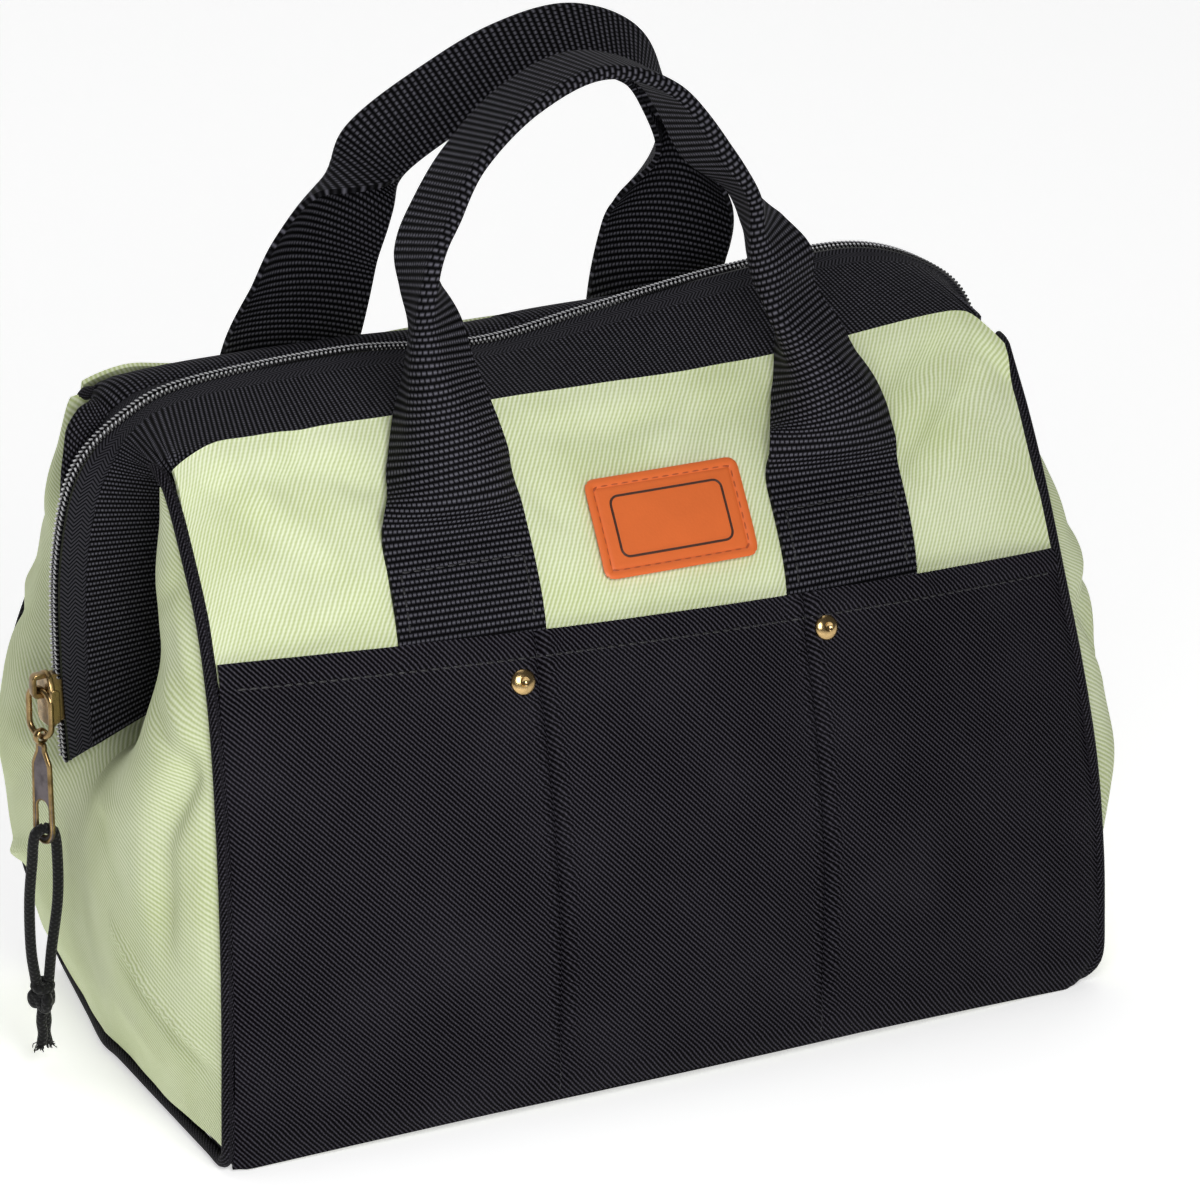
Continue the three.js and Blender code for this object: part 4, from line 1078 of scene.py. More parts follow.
class BAG_OT_pockets(bpy.types.Operator):
    """Front pocket with three compartments and plain rear pocket, with their stitching"""

    bl_idname = "bag.pockets"
    bl_label = "Pockets"

    def execute(self, context):
        cloth, trim = context.scene.bag_cloth, context.scene.bag_trim
        black = black_twill(cloth)
        dark_thread = black_thread()
        for side, name in ((FRONT, "front_pocket"), (REAR, "rear_pocket")):
            close = np.linspace(0.27, 0.345, 36)
            s = np.sort(np.concatenate([np.linspace(-1, 1, 151), close, -close]))
            s, v = np.meshgrid(s, np.linspace(0, 1, 141))
            low = bottom_edge(side, s)
            top = pocket_top(s)
            z = low + (top - low) * v
            x = s * (wall_half(side, s, z) - CLOTH_INSET)
            hem = np.clip((top - z) / HEM, 0, 2)
            groove = 0.3 * (hem < 0.85) - 0.35 * bell(hem - 1, 0.18)
            points = wall_point(side, x, z, pocket_out(side, x, z) + groove)
            part = sheet_part(points, cloth.thickness / MM, uv=np.stack([-side * x, z], -1) / UV_MM)
            made = piece(f"{name}_cloth", [part], black, "bag", "black_twill", name)
            rows = [self.hem_row(side, trim)]
            if side == FRONT:
                rows += [self.seam_row(side, end * POCKET_SEAM_X, trim) for end in (LEFT, RIGHT)]
            piece(f"{name}_stitches", rows, dark_thread, "bag", "black_twill")
        return {"FINISHED"}

    def row(self, side, x, z, trim):
        """Stitches on the pocket's outer face."""
        return stitch_part(*wall_spot(side, x, z, pocket_out(side, x, z) + STITCH_LIFT), trim)

    def hem_row(self, side, trim):
        """Stitches along the hem."""
        s = np.linspace(-0.97, 0.97, 200)
        z = pocket_top(s) - HEM
        return self.row(side, s * (wall_half(side, s, z) - CLOTH_INSET), z, trim)

    def seam_row(self, side, x, trim):
        """Stitches down a seam between compartments."""
        z = np.linspace(pocket_top(x / POCKET_HALF) - 1.5, 7, 120)
        return self.row(side, np.full_like(z, x), z, trim)


class BAG_OT_piping(bpy.types.Operator):
    """Piping down each front edge, round the foot of the gusset and up the rear edge"""

    bl_idname = "bag.piping"
    bl_label = "Piping"

    def execute(self, context):
        cloth = context.scene.bag_cloth
        heights = np.array([194, 180, 160, 135, 105, 75, 45, 22, 10, 6])
        for end, name in ((LEFT, "piping_left"), (RIGHT, "piping_right")):
            front, rear = (
                np.concatenate([self.curl(end, side), seam_point(end, side, heights), self.foot(end, side)])
                for side in (FRONT, REAR))
            path = line_through(np.concatenate([front, rear[::-1]]), 2.0)
            taper = np.minimum(np.arange(len(path)), np.arange(len(path))[::-1])
            radius = PIPING_RADIUS * np.sqrt(np.clip(0.25 + taper / 4, 0, 1))
            tube = tube_part(path, radius, 14)
            piece(f"{name}_cord", [tube], piping_cloth(cloth), "bag", "black_piping", name)
        return {"FINISHED"}

    def curl(self, end, side):
        """Points of the upper end, which turns in behind the corner of the wall."""
        if side == REAR:
            top = seam_point(end, side, np.array([205.0, 202.0]))
            return top + np.array([[-end * 2.4, -6.5, 1.5], [-end * 0.6, -2.0, 1.0]])
        top = seam_point(end, side, np.array([199.0, 197.5]))
        return top + np.array([[end * 1.8, 5.0, 0.5], [end * 0.8, 1.8, 0.5]])

    def foot(self, end, side):
        """Points along the foot of the gusset, from a corner to the middle."""
        height = PIPING_RADIUS + 0.4
        a = seam_point(end, side, np.array([height]))
        d = np.array([[end * GUSSET["x"][0], side * GUSSET["y"][0], height]])
        return a + (d - a) * np.array([0.03, 0.12, 0.35, 0.65, 1.0])[:, None]


class BAG_OT_base(bpy.types.Operator):
    """Flat base inside the foot of the walls"""

    bl_idname = "bag.base"
    bl_label = "Base"

    THICKNESS, END_GAP, WALL_GAP = 2.4, 3.0, 1.6

    def execute(self, context):
        cloth = context.scene.bag_cloth
        s, v = np.meshgrid(np.linspace(-1, 1, 61), np.linspace(0, 1, 41))
        edges = {}
        for side in (FRONT, REAR):
            half = wall_half(side, s, 0.0) - self.END_GAP
            edges[side] = wall_point(side, s * half, 0.0, -self.WALL_GAP)
        points = edges[FRONT] * (1 - v[..., None]) + edges[REAR] * v[..., None]
        points[..., 2] = self.THICKNESS / 2
        part = sheet_part(points, self.THICKNESS)
        piece("base_cloth", [part], black_twill(cloth), "bag", "black_twill", "base")
        return {"FINISHED"}


def zip_line(order):
    """Points on the zip's middle line."""
    row = drawn(MOUTH, "order", order)
    return np.stack([row["zip_x"], np.zeros_like(row["zip_x"]), row["zip_z"]], -1)


def zip_order(spacing):
    """Places along the mouth that are evenly spaced on the zip's line."""
    fine = np.linspace(0, MOUTH_END, 3001)
    line = zip_line(fine)
    long = lengths(line)
    return np.interp(even_steps(long[-1], spacing), long, fine)


class BAG_OT_mouth(bpy.types.Operator):
    """Webbing band round the mouth and the zip tape above it, front and rear"""

    bl_idname = "bag.mouth"
    bl_label = "Mouth"

    def execute(self, context):
        settings, trim = context.scene.bag_webbing, context.scene.bag_trim
        band = webbing("black_band_webbing", settings, 0.75)
        tape = herringbone_tape(settings)
        dark_thread = black_thread()
        order = zip_order(1.6)
        for side, name in ((FRONT, "front"), (REAR, "rear")):
            row = drawn(MOUTH, "order", order)
            a = zip_line(order) + np.array([0, side * (ZIP_HALF_WIDTH - 0.9), 0])
            d = rearward(side, np.stack([row["x"], side * row["y"], row["z"]], -1))
            long = np.linalg.norm(d - a, axis=1)
            down = unit(d - a)
            strip = np.linspace(0, TAPE_WIDTH + 1.4, 7)
            part = sheet_part(a[:, None] + down[:, None] * strip[None, :, None], 1.0)
            piece(f"zip_tape_{name}_cloth", [part], tape, "bag", "zip_tape", f"zip_tape_{name}")
            share = np.linspace(0, 1, 15)
            far = TAPE_WIDTH + (long[:, None] + 1.0 - TAPE_WIDTH) * share
            points = a[:, None] + down[:, None] * far[..., None]
            points = points + self.pleats(order, share, points)
            if side == REAR:
                points = points + self.roll(order, share)
            points = np.concatenate([points, self.tuck(side, order, points[:, -1], down)], axis=1)
            width = settings.thickness / MM
            piece(f"mouth_band_{name}_webbing", [sheet_part(points, width)], band, "bag", "black_webbing",
                  f"mouth_band_{name}")
            out = unit(np.cross(np.gradient(points[:, 1], axis=0), down)) * -side
            rows = [stitch_part(points[:, 1] + out * (width / 2 + 0.1), out, trim)]
            piece(f"mouth_band_{name}_stitches", rows, dark_thread, "bag", "black_webbing")
        return {"FINISHED"}

    def roll(self, order, share):
        """The rear band stands out beside the zip at the left corner before it turns down."""
        end = 14 * soft_step((order - 1.6) / 0.9) * (1 - soft_step((order - 3.0) / 0.9))
        height = end + 3.5 * soft_step((order - 2.8) / 0.9) * (1 - soft_step((order - 7.6) / 1.6))
        ahead = unit(np.gradient(zip_line(order), axis=0))
        out = np.stack([-ahead[:, 2], 0 * order, ahead[:, 0]], -1)
        swell = np.sin(np.pi * share**0.8)
        return out[:, None] * (height[:, None] * swell)[..., None]

    def tuck(self, side, order, edge, down):
        """The lower edge goes on behind the top of the wall."""
        near = np.minimum(order, MOUTH_END - order)
        top = soft_step((near - 3.5) / 0.7)[:, None]
        z = edge[:, 2] - 6
        x = np.clip(edge[:, 0], -137, 137)
        stop = (edge + down * 0.8) * (1 - top) + wall_point(side, x, z, -2.0) * top
        share = np.array([0.35, 0.7, 1.0])[None, :, None]
        return edge[:, None] * (1 - share) + stop[:, None] * share

    def pleats(self, order, share, points):
        """Small gathers where the band turns a corner, deepest at its lower edge."""
        near = sum(bell(order - corner, 0.75) for corner in MOUTH_CORNERS)
        wave = np.sin(order * 2 * np.pi * 3.2) * 1.1 * near
        du = np.gradient(points, axis=1)
        dv = np.gradient(points, axis=0)
        return unit(np.cross(du, dv)) * (wave[:, None] * share**1.5)[..., None]


class BAG_OT_zip(bpy.types.Operator):
    """Coil zip: two rows of nylon turns on a flat core, with the end below the slider"""

    bl_idname = "bag.zip"
    bl_label = "Zip"

    TURN = (2.5, 1.05, 1.5)  # length, width and height of one turn of the coil
    TURN_ASIDE, TURN_OUT = 1.55, 0.95  # place of its middle, beside and outside the zip's line
    LEAN = math.radians(20)

    def execute(self, context):
        nylon = coil_nylon()
        order = zip_order(TOOTH_PITCH)
        heights = zip_line(order)[:, 2]
        left = order < 2
        below = left & (heights < SLIDER_Z - SLIDER_LENGTH / 2 + 2.5)
        above = ~left | (heights > SLIDER_Z + SLIDER_LENGTH / 2 - 3)
        for name, kept in (("zip_coil", above), ("zip_end", below)):
            parts = [self.core(order[kept]), *self.turns(order[kept])]
            piece(f"{name}_turns", parts, nylon, "bag", "zip_coil", name)
        return {"FINISHED"}

    def directions(self, order):
        """Along the zip and out of it."""
        ahead = unit(zip_line(np.minimum(order + 0.01, MOUTH_END)) - zip_line(np.maximum(order - 0.01, 0)))
        return ahead, np.stack([-ahead[:, 2], np.zeros(len(order)), ahead[:, 0]], -1)

    def core(self, order):
        """Flat core under the turns."""
        fine = np.linspace(order[0], order[-1], 2 * len(order))
        across = np.linspace(-1, 1, 5) * (ZIP_HALF_WIDTH - 0.4)
        points = zip_line(fine)[:, None] + np.array([0, 1, 0]) * across[None, :, None]
        return sheet_part(points, 1.3, uv=np.zeros((*points.shape[:2], 2)))

    def turns(self, order):
        """Two rows of turns, each leaning towards the middle."""
        parts, step = [], (order[-1] - order[0]) / (len(order) - 1)
        for side, shift in ((FRONT, 0.0), (REAR, 0.5)):
            at = order[:-1] + shift * step
            ahead, out = self.directions(at)
            across = np.array([0.0, side, 0.0]) * math.cos(self.LEAN) - ahead * math.sin(self.LEAN)
            places = zip_line(at) + np.array([0, side * self.TURN_ASIDE, 0]) + out * self.TURN_OUT
            axes = np.stack([across, np.cross(out, across), out], 1)
            parts.append(placed_part(capsule(*self.TURN), places, axes))
        return parts


SIDEWAYS = [[0, 1, 0], [0, 0, 1], [1, 0, 0]]  # a plate facing along X
ENDWAYS = [[1, 0, 0], [0, 0, 1], [0, -1, 0]]  # a plate facing along Y


class BAG_OT_pull(bpy.types.Operator):
    """Slider, oval ring and tab of antique brass"""

    bl_idname = "bag.pull"
    bl_label = "Zip pull"

    BACK_PLATE_X = -158.2  # plate behind the zip
    FLANGE_X = -164.6  # rear edge of the side flanges, before its rounding

    def execute(self, context):
        trim = context.scene.bag_trim
        brass = aged_brass(trim)
        piece("slider_body", self.slider(), brass, "bag", "aged_brass", "zip_slider")
        ring = self.turned([self.ring()], RING_TURN)
        piece("pull_ring_wire", ring, brass, "pull_ring", "aged_brass", "zip_ring")
        rim, face = (self.turned(parts, TAB_TURN) for parts in self.tab())
        piece("pull_tab_rim", rim, brass, "pull_tab", "aged_brass", "zip_tab")
        piece("pull_tab_face", face, sunk_face(trim), "pull_tab", "aged_brass")
        return {"FINISHED"}

    def turned(self, parts, degrees):
        """Parts that hang turned a little towards the front."""
        a = math.radians(degrees)
        turn = np.array([[math.cos(a), math.sin(a), 0], [-math.sin(a), math.cos(a), 0], [0, 0, 1]])
        axis = np.array([PULL_X, 0, 0])
        return [((vertices - axis) @ turn + axis, faces, uv) for vertices, faces, uv in parts]

    def loop(self, outline):
        """Closed path in the pull's plane, evenly spaced."""
        path = np.array([(PULL_X, y, z) for y, z in outline + outline[:1]])
        return evenly(path, 0.7)[:-1]

    def slider(self):
        """Shield-shaped plate with side flanges, a core and the bridge that holds the ring."""
        low, high = SLIDER_Z - SLIDER_LENGTH / 2, SLIDER_Z + SLIDER_LENGTH / 2
        reach = RING_WIRE + 0.35
        face, bridge, foot = PULL_X + reach, PULL_X - reach, RING_TOP_Z - reach
        shield = arc(0, high - 4.5, 4.5, 40, 140, 9) + [(-5.5, high - 5.5), (-5.5, low + 4)]
        shield += arc(-3.4, low + 2, 2, 180, 270, 6) + arc(3.4, low + 2, 2, 270, 360, 6)
        shield += [(5.5, low + 4), (5.5, high - 5.5)]
        parts = [plate_part([shield], 1.9, 0.45, SIDEWAYS, (face + 0.95, 0, 0))]
        parts.append(plate_part([[(y * 0.34, SLIDER_Z + (z - SLIDER_Z) * 0.9) for y, z in shield]], 1.4, 0.3,
                                SIDEWAYS, (self.BACK_PLATE_X, 0, 0)))
        core = [(-1.9, low + 1), (1.9, low + 1), (1.9, high - 1), (-1.9, high - 1)]
        parts.append(plate_part([core], 8.0, 0.3, SIDEWAYS, (face + 5.2, 0, 0)))
        flange = arc(face + 1.4, low + 2.4, 1.3, 180, 270, 5)
        flange += arc(self.FLANGE_X, low + 2.4, 1.0, 270, 360, 5)
        flange += arc(self.FLANGE_X, high - 6, 1.0, 0, 90, 5)
        flange += arc(face + 1.4, high - 6, 1.3, 90, 180, 5)
        for side in (FRONT, REAR):
            parts.append(plate_part([flange], 1.3, 0.35, ENDWAYS, (0, side * 5.0, 0)))
        top = high - 0.5
        outer = [(face + 0.8, foot - 1.5)] + arc(bridge + 0.6, foot + 0.4, 2.0, 250, 180, 6)
        outer += arc(bridge + 0.6, top - 2.0, 2.0, 180, 100, 6) + [(face + 0.8, top)]
        inner = [(face + 0.8, foot), (bridge, foot + 0.3), (bridge, top - 1.8), (face + 0.8, top - 1.5)]
        parts.append(plate_part([outer + inner[::-1]], 3.0, 0.35, ENDWAYS, (0, 0, 0)))
        return parts

    def ring(self):
        """Oval wire ring."""
        radius = RING_HALF_WIDTH
        low, high = RING_TOP_Z - RING_HEIGHT, RING_TOP_Z
        squash = 0.8
        oval = [(y, low + (z + radius) * squash) for y, z in arc(0, 0, radius, 180, 360, 24)]
        oval += [(y, high + (z - radius) * squash) for y, z in arc(0, 0, radius, 0, 180, 24)]
        return tube_part(self.loop(oval), RING_WIRE, 14, closed=True)

    def tab(self):
        """Raised rim with the eye, and the sunk face with the cord's hole."""
        eye = RING_TOP_Z - RING_HEIGHT
        outline = arc(0, TAB_BOTTOM_Z + TAB_HALF_WIDTH, TAB_HALF_WIDTH, 180, 360, 16)
        outline += [(4.0, eye - 9), (1.5, eye - 4.6), (1.5, eye - 2.6)]
        outline += [(-1.5, eye - 2.6), (-1.5, eye - 4.6), (-4.0, eye - 9)]
        hole = arc(0, TAB_HOLE_LOW, TAB_HOLE_RADIUS, 360, 180, 12)
        hole += arc(0, TAB_HOLE_HIGH, TAB_HOLE_RADIUS, 180, 0, 12)
        plate = plate_part([outline, hole], 1.3, 0.3, SIDEWAYS, (PULL_X, 0, 0))
        inner = [(y * 0.84, z + (0.55 if z < TAB_BOTTOM_Z + 4 else 0.0)) for y, z in outline]
        rim = tube_part(self.loop(inner), 0.85, 10, closed=True)
        lip = tube_part(self.loop([(y * 1.06, z) for y, z in hole]), 0.55, 8, closed=True)
        around = np.array([(PULL_X + x, 0, eye + z) for x, z in arc(0, 0, 2.1, 0, 345, 24)])
        eye_ring = tube_part(around, 0.55, 10, closed=True)
        eye_ring[0][:, 1] *= 2.0
        return [rim, lip, eye_ring], [plate]


class BAG_OT_cord(bpy.types.Operator):
    """Cord loop through the tab, tied in a knot with two frayed tails"""

    bl_idname = "bag.cord"
    bl_label = "Pull cord"

    def execute(self, context):
        braid = braided_cord()
        knot = piece("cord_knot_tied", self.knot(), braid, "pull_tab", "black_cord", "cord_knot")
        for name, strand in CORD_STRANDS.items():
            path = line_through(xyz(strand) + [PULL_X, 0, 0], 0.8)
            tube = tube_part(path, CORD_RADIUS, 14)
            made = piece(name, [tube], braid, "pull_tab", "black_cord", "pull_cord")
        return {"FINISHED"}

    def knot(self):
        """Overhand knot of the doubled cord, its tails and their loose fibres."""
        t = np.linspace(0, 2 * np.pi, 90)
        x = 2.3 * np.sin(t) + 0.9 * np.sin(2 * t)
        y = 1.9 * np.cos(t) - 1.1 * np.cos(2 * t)
        z = 2.4 * np.sin(3 * t) * 0.8 + 0.6 * np.cos(t)
        middle = np.array([PULL_X + KNOT_X, 0, KNOT_Z])
        parts = [tube_part(middle + np.stack([x, y, z * 0.9], -1)[:-1], 1.75, 12, closed=True)]
        turn = np.linspace(0, 2 * np.pi, 40)[:-1]
        collar = np.stack([2.5 * np.cos(turn), 1.9 * np.sin(turn), 4.6 + 0.8 * np.sin(turn)], -1)
        parts.append(tube_part(middle + collar, 1.45, 10, closed=True))
        core = middle + np.array([[-0.4, 0, 5.6], [-0.3, 0, 3], [0, 0, 0], [0.2, 0, -3.5]])
        parts.append(tube_part(line_through(core, 0.8), np.array([2.2]), 12))
        fibre = np.random.default_rng(7)
        for lean, turn in ((-1.0, 0.5), (1.0, -0.6)):
            tail = middle + np.array([
                [0.3 * lean, 0.2 * lean, -2.5], [1.0 * lean, 0.4 * lean, -7],
                [1.2 * lean + turn, 0.5 * lean, -11], [1.9 * lean + turn, 0.6 * lean, -14.5]])
            path = line_through(tail, 0.8)
            parts.append(tube_part(path, np.linspace(1.7, 1.55, len(path)), 12))
            for _ in range(26):
                start = path[-1] + np.append(fibre.normal(0, 0.65, 2), 0.6)
                spread = np.array([
                    fibre.normal(0.5 * lean, 0.9), fibre.normal(0, 0.8), -fibre.uniform(1.2, 3.0)])
                bend = start + spread * 0.5 + fibre.normal(0, 0.25, 3)
                parts.append(tube_part(line_through([start, bend, start + spread], 0.7), 0.17, 5))
        return parts


class BAG_OT_handles(bpy.types.Operator):
    """Front and rear handle of webbing, folded double at the grip, with their stitching"""

    bl_idname = "bag.handles"
    bl_label = "Handles"

    def execute(self, context):
        settings, trim = context.scene.bag_webbing, context.scene.bag_trim
        strap = webbing("black_strap_webbing", settings, 1.0)
        dark_thread = black_thread()
        width = settings.thickness / MM
        for side, name in ((FRONT, "handle_front"), (REAR, "handle_rear")):
            points, across = self.points(side, width)
            uv = arc_uv(points)
            uv[..., 0] = across / UV_MM
            piece(f"{name}_webbing", [sheet_part(points, width, uv=uv)], strap, "bag", "black_webbing", name)
            rows = []
            for end in (LEFT, RIGHT):
                rows += self.box_rows(side, end, width, trim)
            piece(f"{name}_stitches", rows, dark_thread, "bag", "black_webbing")
        return {"FINISHED"}

    def sewn_out(self, width):
        """How far the sewn part's middle stands off the wall."""
        return STRAP_GAP + width / 2

    def lean(self, side, z):
        """How far the sewn straps have leaned to the right at a height."""
        return STRAP_LEAN[side] * (z - POCKET_TOP)

    def sewn_low(self, end):
        """Lower end of the sewn part, tucked behind the pocket's top edge."""
        return pocket_top(end * STRAP_X / POCKET_HALF) - STRAP_TUCK

    def table(self, side, width):
        """Rows of the whole strap from its left end to its right end."""
        sewn = {}
        for end in (LEFT, RIGHT):
            low = self.sewn_low(end)
            z = np.array([low, (low + STRAP_SEWN_TO) / 2, STRAP_SEWN_TO - 4])
            p = wall_point(side, end * STRAP_X + self.lean(side, z), z, self.sewn_out(width))
            sewn[end] = np.concatenate([p, np.zeros((3, 2))], axis=1)
        free = np.stack([HANDLES[side][key] for key in ("x", "y", "z", "fold", "roll")], -1)
        rows = np.concatenate([sewn[LEFT], free, sewn[RIGHT][::-1]])
        numbered = np.concatenate([np.arange(len(rows))[:, None], rows], axis=1)
        return columns("order x y z fold roll", numbered), len(rows) - 1

    def points(self, side, width):
        """Grid of the strap, whose halves fold towards the zip's plane, and the places of its columns."""
        table, last = self.table(side, width)
        half = STRAP_WIDTH / 2
        quarter = math.pi / 2 * FOLD_RADIUS
        d = np.concatenate([np.linspace(-half, -quarter, 11)[:-1], np.linspace(-quarter, quarter, 9),
                            np.linspace(quarter, half, 11)[1:]])
        order = np.linspace(0, last, 361)
        row = drawn(table, "order", order)
        before, after = (xyz(drawn(table, "order", np.clip(order + step, 0, last))) for step in (-0.05, 0.05))
        along = unit(after - before)
        front = unit(np.array([0.0, -1.0, 0.0]) + along * along[:, 1:2])
        out = np.cross(front, along)
        roll = np.radians(row["roll"])[:, None]
        w = front * np.cos(roll) - out * np.sin(roll)
        n = out * np.cos(roll) + front * np.sin(roll)
        fold = np.maximum(0.01, np.radians(row["fold"]))[:, None]
        open_share = 1 - soft_step((fold - STRAP_ROLLED_TO) / STRAP_CREASED_OVER)
        curved = quarter + (half - quarter) * open_share
        radius = curved / fold
        bend = np.minimum(fold, np.abs(d)[None] / radius)
        rest = np.maximum(0, np.abs(d)[None] - curved)
        sideways = np.sign(d) * (radius * np.sin(bend) + rest * np.cos(fold))
        forwards = radius * (1 - np.cos(bend)) + rest * np.sin(fold)
        forwards = side * (forwards - forwards[:, -1:] / 2)
        points = xyz(row)[:, None] + n[:, None] * sideways[..., None] + w[:, None] * forwards[..., None]
        sewn = soft_step(3 - np.minimum(order, last - order))[:, None, None]
        end = np.where(order < last / 2, LEFT, RIGHT)[:, None]
        across = np.broadcast_to(d, (len(order), len(d)))
        z = np.broadcast_to(row["z"][:, None], across.shape)
        flat = wall_point(side, end * (STRAP_X + d[None]) + self.lean(side, z), z, self.sewn_out(width))
        return points * (1 - sewn) + flat * sewn, across

    def box_rows(self, side, end, width, trim):
        """Rows of stitches that hold the strap to the wall."""
        low, high = self.sewn_low(end) + 7, STRAP_SEWN_TO - 6
        out = self.sewn_out(width) + width / 2 + 0.1
        inset = STRAP_WIDTH / 2 - 3.5
        corners = [(-inset, low), (-inset, high), (inset, high), (inset, low)]
        rows = []
        for a, b in zip(corners[:-1], corners[1:]):
            share = np.linspace(0, 1, 30)
            z = a[1] + (b[1] - a[1]) * share
            x = end * STRAP_X + a[0] + (b[0] - a[0]) * share + self.lean(side, z)
            rows.append(stitch_part(*wall_spot(side, x, z, out), trim))
        return rows


class BAG_OT_patch(bpy.types.Operator):
    """Orange patch with a raised rim, a stitched edge and a plain line, otherwise bare"""

    bl_idname = "bag.patch"
    bl_label = "Patch"

    WIDTH, HEIGHT, CORNER = 52.0, 31.0, 3.5

    def execute(self, context):
        trim = context.scene.bag_trim
        a, b = np.meshgrid(np.linspace(-1, 1, 79), np.linspace(-1, 1, 49))
        x, y = self.rounded(a, b, self.WIDTH / 2, self.HEIGHT / 2, self.CORNER)
        edge = np.minimum(1 - np.abs(a), (1 - np.abs(b)) * self.HEIGHT / self.WIDTH) * self.WIDTH / 2
        rise = 0.45 * bell(edge - 1.0, 1.0) - 0.3 * bell(edge - 2.7, 0.5)
        points = self.place(x, y, 2.05 + rise)
        face = sheet_part(points, 1.5, uv=np.stack([x, y], -1) / UV_MM)
        piece("patch_leather", [face], patch_leather(trim), "bag", "orange_patch", "patch")
        marks = thread("brown_thread", trim.patch_line)
        inset = 2.2
        path = self.loop(self.WIDTH / 2 - inset, self.HEIGHT / 2 - inset, self.CORNER - 1)
        row = stitch_part(self.place(*path.T, 2.75), self.outward(path), trim, 0.7)
        piece("patch_stitches", [row], marks, "bag", "orange_patch")
        line = self.loop(self.WIDTH / 2 - 7.0, self.HEIGHT / 2 - 6.0, 2.6)
        ribbon = tube_part(evenly(self.place(*line.T, 2.72), 0.6)[:-1], 0.42, 8, closed=True)
        piece("patch_line", [ribbon], thread("brown_printed_line", linear("#43210f")), "bag", "orange_patch")
        return {"FINISHED"}

    def rounded(self, a, b, half_x, half_y, corner):
        """Square grid laid on a rectangle with round corners."""
        x, y = a * half_x, b * half_y
        dx = np.clip((np.abs(x) - half_x + corner) / corner, 0, 1)
        dy = np.clip((np.abs(y) - half_y + corner) / corner, 0, 1)
        inside = (dx > 0) & (dy > 0)
        rx, ry = dx * np.sqrt(1 - dy**2 / 2), dy * np.sqrt(1 - dx**2 / 2)
        x = np.where(inside, np.sign(x) * (half_x - corner + rx * corner), x)
        y = np.where(inside, np.sign(y) * (half_y - corner + ry * corner), y)
        return x, y

    def place(self, x, y, out):
        """Point on the front wall, this far across and up the patch."""
        return wall_point(FRONT, PATCH_X + x + y * PATCH_LEAN, PATCH_Z + y * PATCH_SLOPE, out)

    def outward(self, path):
        """Outward directions along a path on the patch."""
        return self.place(*path.T, 3.0) - self.place(*path.T, 2.0)

    def loop(self, half_x, half_y, corner):
        """Closed rounded rectangle, across and up the patch."""
        points = []
        for sx, sy, start in ((1, -1, 270), (1, 1, 0), (-1, 1, 90), (-1, -1, 180)):
            points += arc(sx * (half_x - corner), sy * (half_y - corner), corner, start, start + 90, 8)
        return evenly(np.array([(x, y, 0) for x, y in points + points[:1]]), 0.8)[:, :2]


class BAG_OT_rivets(bpy.types.Operator):
    """Domed brass rivets beside the pocket's seams"""

    bl_idname = "bag.rivets"
    bl_label = "Rivets"

    LIFT = 0.7  # from the pocket's middle surface to its outer face
    SIDES = 40
    PROFILE = columns("radius height", [
        (4.0, -0.6), (4.05, 0.2), (3.7, 0.75), (2.9, 1.25), (2.1, 1.6), (1.5, 1.7), (1.0, 1.25), (0.5, 0.95)])

    def execute(self, context):
        brass = rivet_brass(context.scene.bag_trim)
        for end, name in ((LEFT, "rivet_left"), (RIGHT, "rivet_right")):
            x, z = np.array([end * RIVET_X]), np.array([RIVET_Z])
            feet, outward = wall_spot(FRONT, x, z, pocket_out(FRONT, x, z) + self.LIFT)
            dome = self.dome(feet[0], unit(outward[0]))
            piece(f"{name}_dome", [dome], brass, "bag", "aged_brass", name)
        return {"FINISHED"}

    def dome(self, foot, up):
        """Turned profile about the rivet's axis, closed at both ends."""
        side = unit(np.cross(up, [0, 0, 1]))
        angle = np.arange(self.SIDES) * 2 * np.pi / self.SIDES
        around = np.cos(angle)[:, None] * side + np.sin(angle)[:, None] * np.cross(up, side)
        radius, height = self.PROFILE["radius"], self.PROFILE["height"]
        rings = foot + around[None] * radius[:, None, None] + up * height[:, None, None]
        points = rings.reshape(-1, 3)
        return points, ring_faces(len(radius), self.SIDES), np.zeros((len(points), 2))


# Stage


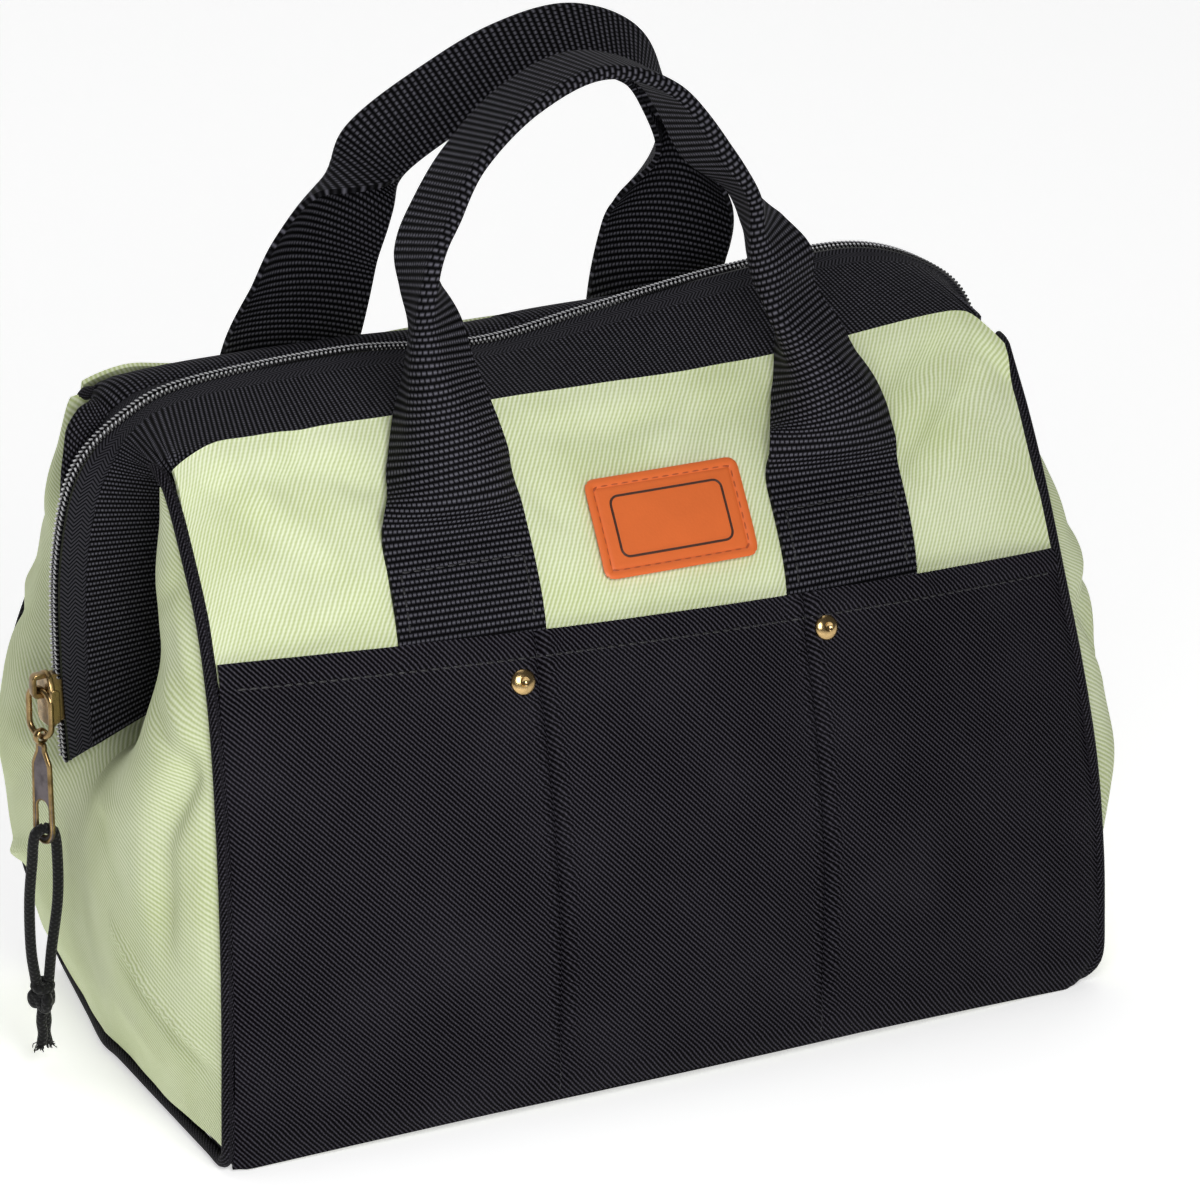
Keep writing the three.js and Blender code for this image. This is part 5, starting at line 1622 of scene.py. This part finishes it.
class BAG_OT_stage(bpy.types.Operator):
    """Pale floor, soft lights and the camera"""

    bl_idname = "bag.stage"
    bl_label = "Stage"

    TARGET = Vector((22.5, MOUTH_BACK, 120.5)) * MM
    DISTANCE = 1700 * MM
    AZIMUTH, ELEVATION = math.radians(-28.0), math.radians(19.2)
    KEY_PLACE, KEY_SIZE = Vector((-0.17, -0.5, 0.38)), 0.25
    TOP_PLACE, TOP_SIZE = Vector((0.3, 0.6, 2.2)), 1.8
    SKY = 0.1
    # Floor in metres: its front edge, where it bends up, the bend's radius, and the backdrop
    FLOOR_FRONT, FLOOR_BEND, BEND_RADIUS = -4.0, 2.2, 1.2
    BACKDROP_TOP, HALF_WIDTH = 5.0, 6.0

    def execute(self, context):
        stage = context.scene.bag_stage
        self.floor(stage)
        self.light("key_light", self.KEY_PLACE, self.KEY_SIZE, stage.key)
        self.light("top_light", self.TOP_PLACE, self.TOP_SIZE, stage.top)
        world = bpy.data.worlds.new("white_studio")
        world.use_nodes = True
        background = world.node_tree.nodes["Background"]
        background.inputs["Color"].default_value = (1, 1, 1, 1)
        background.inputs["Strength"].default_value = self.SKY
        context.scene.world = world
        context.scene.view_settings.view_transform = "Standard"
        self.camera(context, stage)
        return {"FINISHED"}

    def floor(self, stage):
        """Floor that curves up into a backdrop behind the bag."""
        bend, radius = self.FLOOR_BEND, self.BEND_RADIUS
        profile = [(self.FLOOR_FRONT, 0.0), (bend, 0.0)]
        for a in np.linspace(0.15, math.pi / 2, 12):
            profile.append((bend + radius * math.sin(a), radius - radius * math.cos(a)))
        profile.append((bend + radius, self.BACKDROP_TOP))
        vertices = [(x, y, z) for y, z in profile for x in (-self.HALF_WIDTH, self.HALF_WIDTH)]
        faces = [(2 * i, 2 * i + 1, 2 * i + 3, 2 * i + 2) for i in range(len(profile) - 1)]
        mesh = bpy.data.meshes.new("floor")
        mesh.from_pydata(vertices, [], faces)
        mesh.shade_smooth()
        mesh.materials.append(pale_floor(stage))
        made = bpy.data.objects.new("floor", mesh)
        bpy.context.scene.collection.objects.link(made)

    def light(self, name, place, size, power):
        """Square soft light turned to the bag."""
        data = bpy.data.lights.new(name, "AREA")
        data.size = size
        data.energy = power
        made = bpy.data.objects.new(name, data)
        made.location = place
        made.rotation_euler = (self.TARGET - place).to_track_quat("-Z", "Y").to_euler()
        bpy.context.scene.collection.objects.link(made)

    def camera(self, context, stage):
        """Camera at the bag's left front, a little above it."""
        flat = math.cos(self.ELEVATION)
        back = Vector((
            math.sin(self.AZIMUTH) * flat, -math.cos(self.AZIMUTH) * flat, math.sin(self.ELEVATION)))
        data = bpy.data.cameras.new("camera")
        data.lens = stage.lens
        data.sensor_width = 36.0
        made = bpy.data.objects.new("camera", data)
        made.location = self.TARGET + back * self.DISTANCE
        made.rotation_euler = (-back).to_track_quat("-Z", "Y").to_euler()
        context.scene.collection.objects.link(made)
        context.scene.camera = made


OPERATORS = [
    BAG_OT_stage, BAG_OT_cord, BAG_OT_walls, BAG_OT_gussets, BAG_OT_pockets, BAG_OT_piping, BAG_OT_base,
    BAG_OT_mouth, BAG_OT_zip, BAG_OT_pull, BAG_OT_handles, BAG_OT_patch, BAG_OT_rivets]


class BAG_PT_sidebar(bpy.types.Panel):
    """Settings and pieces of the tool bag"""

    bl_idname = "BAG_PT_sidebar"
    bl_label = "Tool Bag"
    bl_space_type = "VIEW_3D"
    bl_region_type = "UI"
    bl_category = "Tool Bag"

    def draw(self, context):
        for name, group in SETTINGS.items():
            box = self.layout.box()
            for key in group.__annotations__:
                box.prop(getattr(context.scene, name), key)
        for operator in OPERATORS:
            self.layout.operator(operator.bl_idname)


CLASSES = [*SETTINGS.values(), *OPERATORS, BAG_PT_sidebar]


def register():
    """Adds the classes and puts the settings on the scene."""
    for made in CLASSES:
        bpy.utils.register_class(made)
    for name, group in SETTINGS.items():
        setattr(bpy.types.Scene, name, bpy.props.PointerProperty(type=group))


def unregister():
    """Takes the settings and the classes away again."""
    for name in SETTINGS:
        delattr(bpy.types.Scene, name)
    for made in reversed(CLASSES):
        bpy.utils.unregister_class(made)


def main():
    """Makes every piece in order."""
    register()
    for operator in OPERATORS:
        group, name = operator.bl_idname.split(".")
        getattr(getattr(bpy.ops, group), name)()


if __name__ == "__main__":
    main()
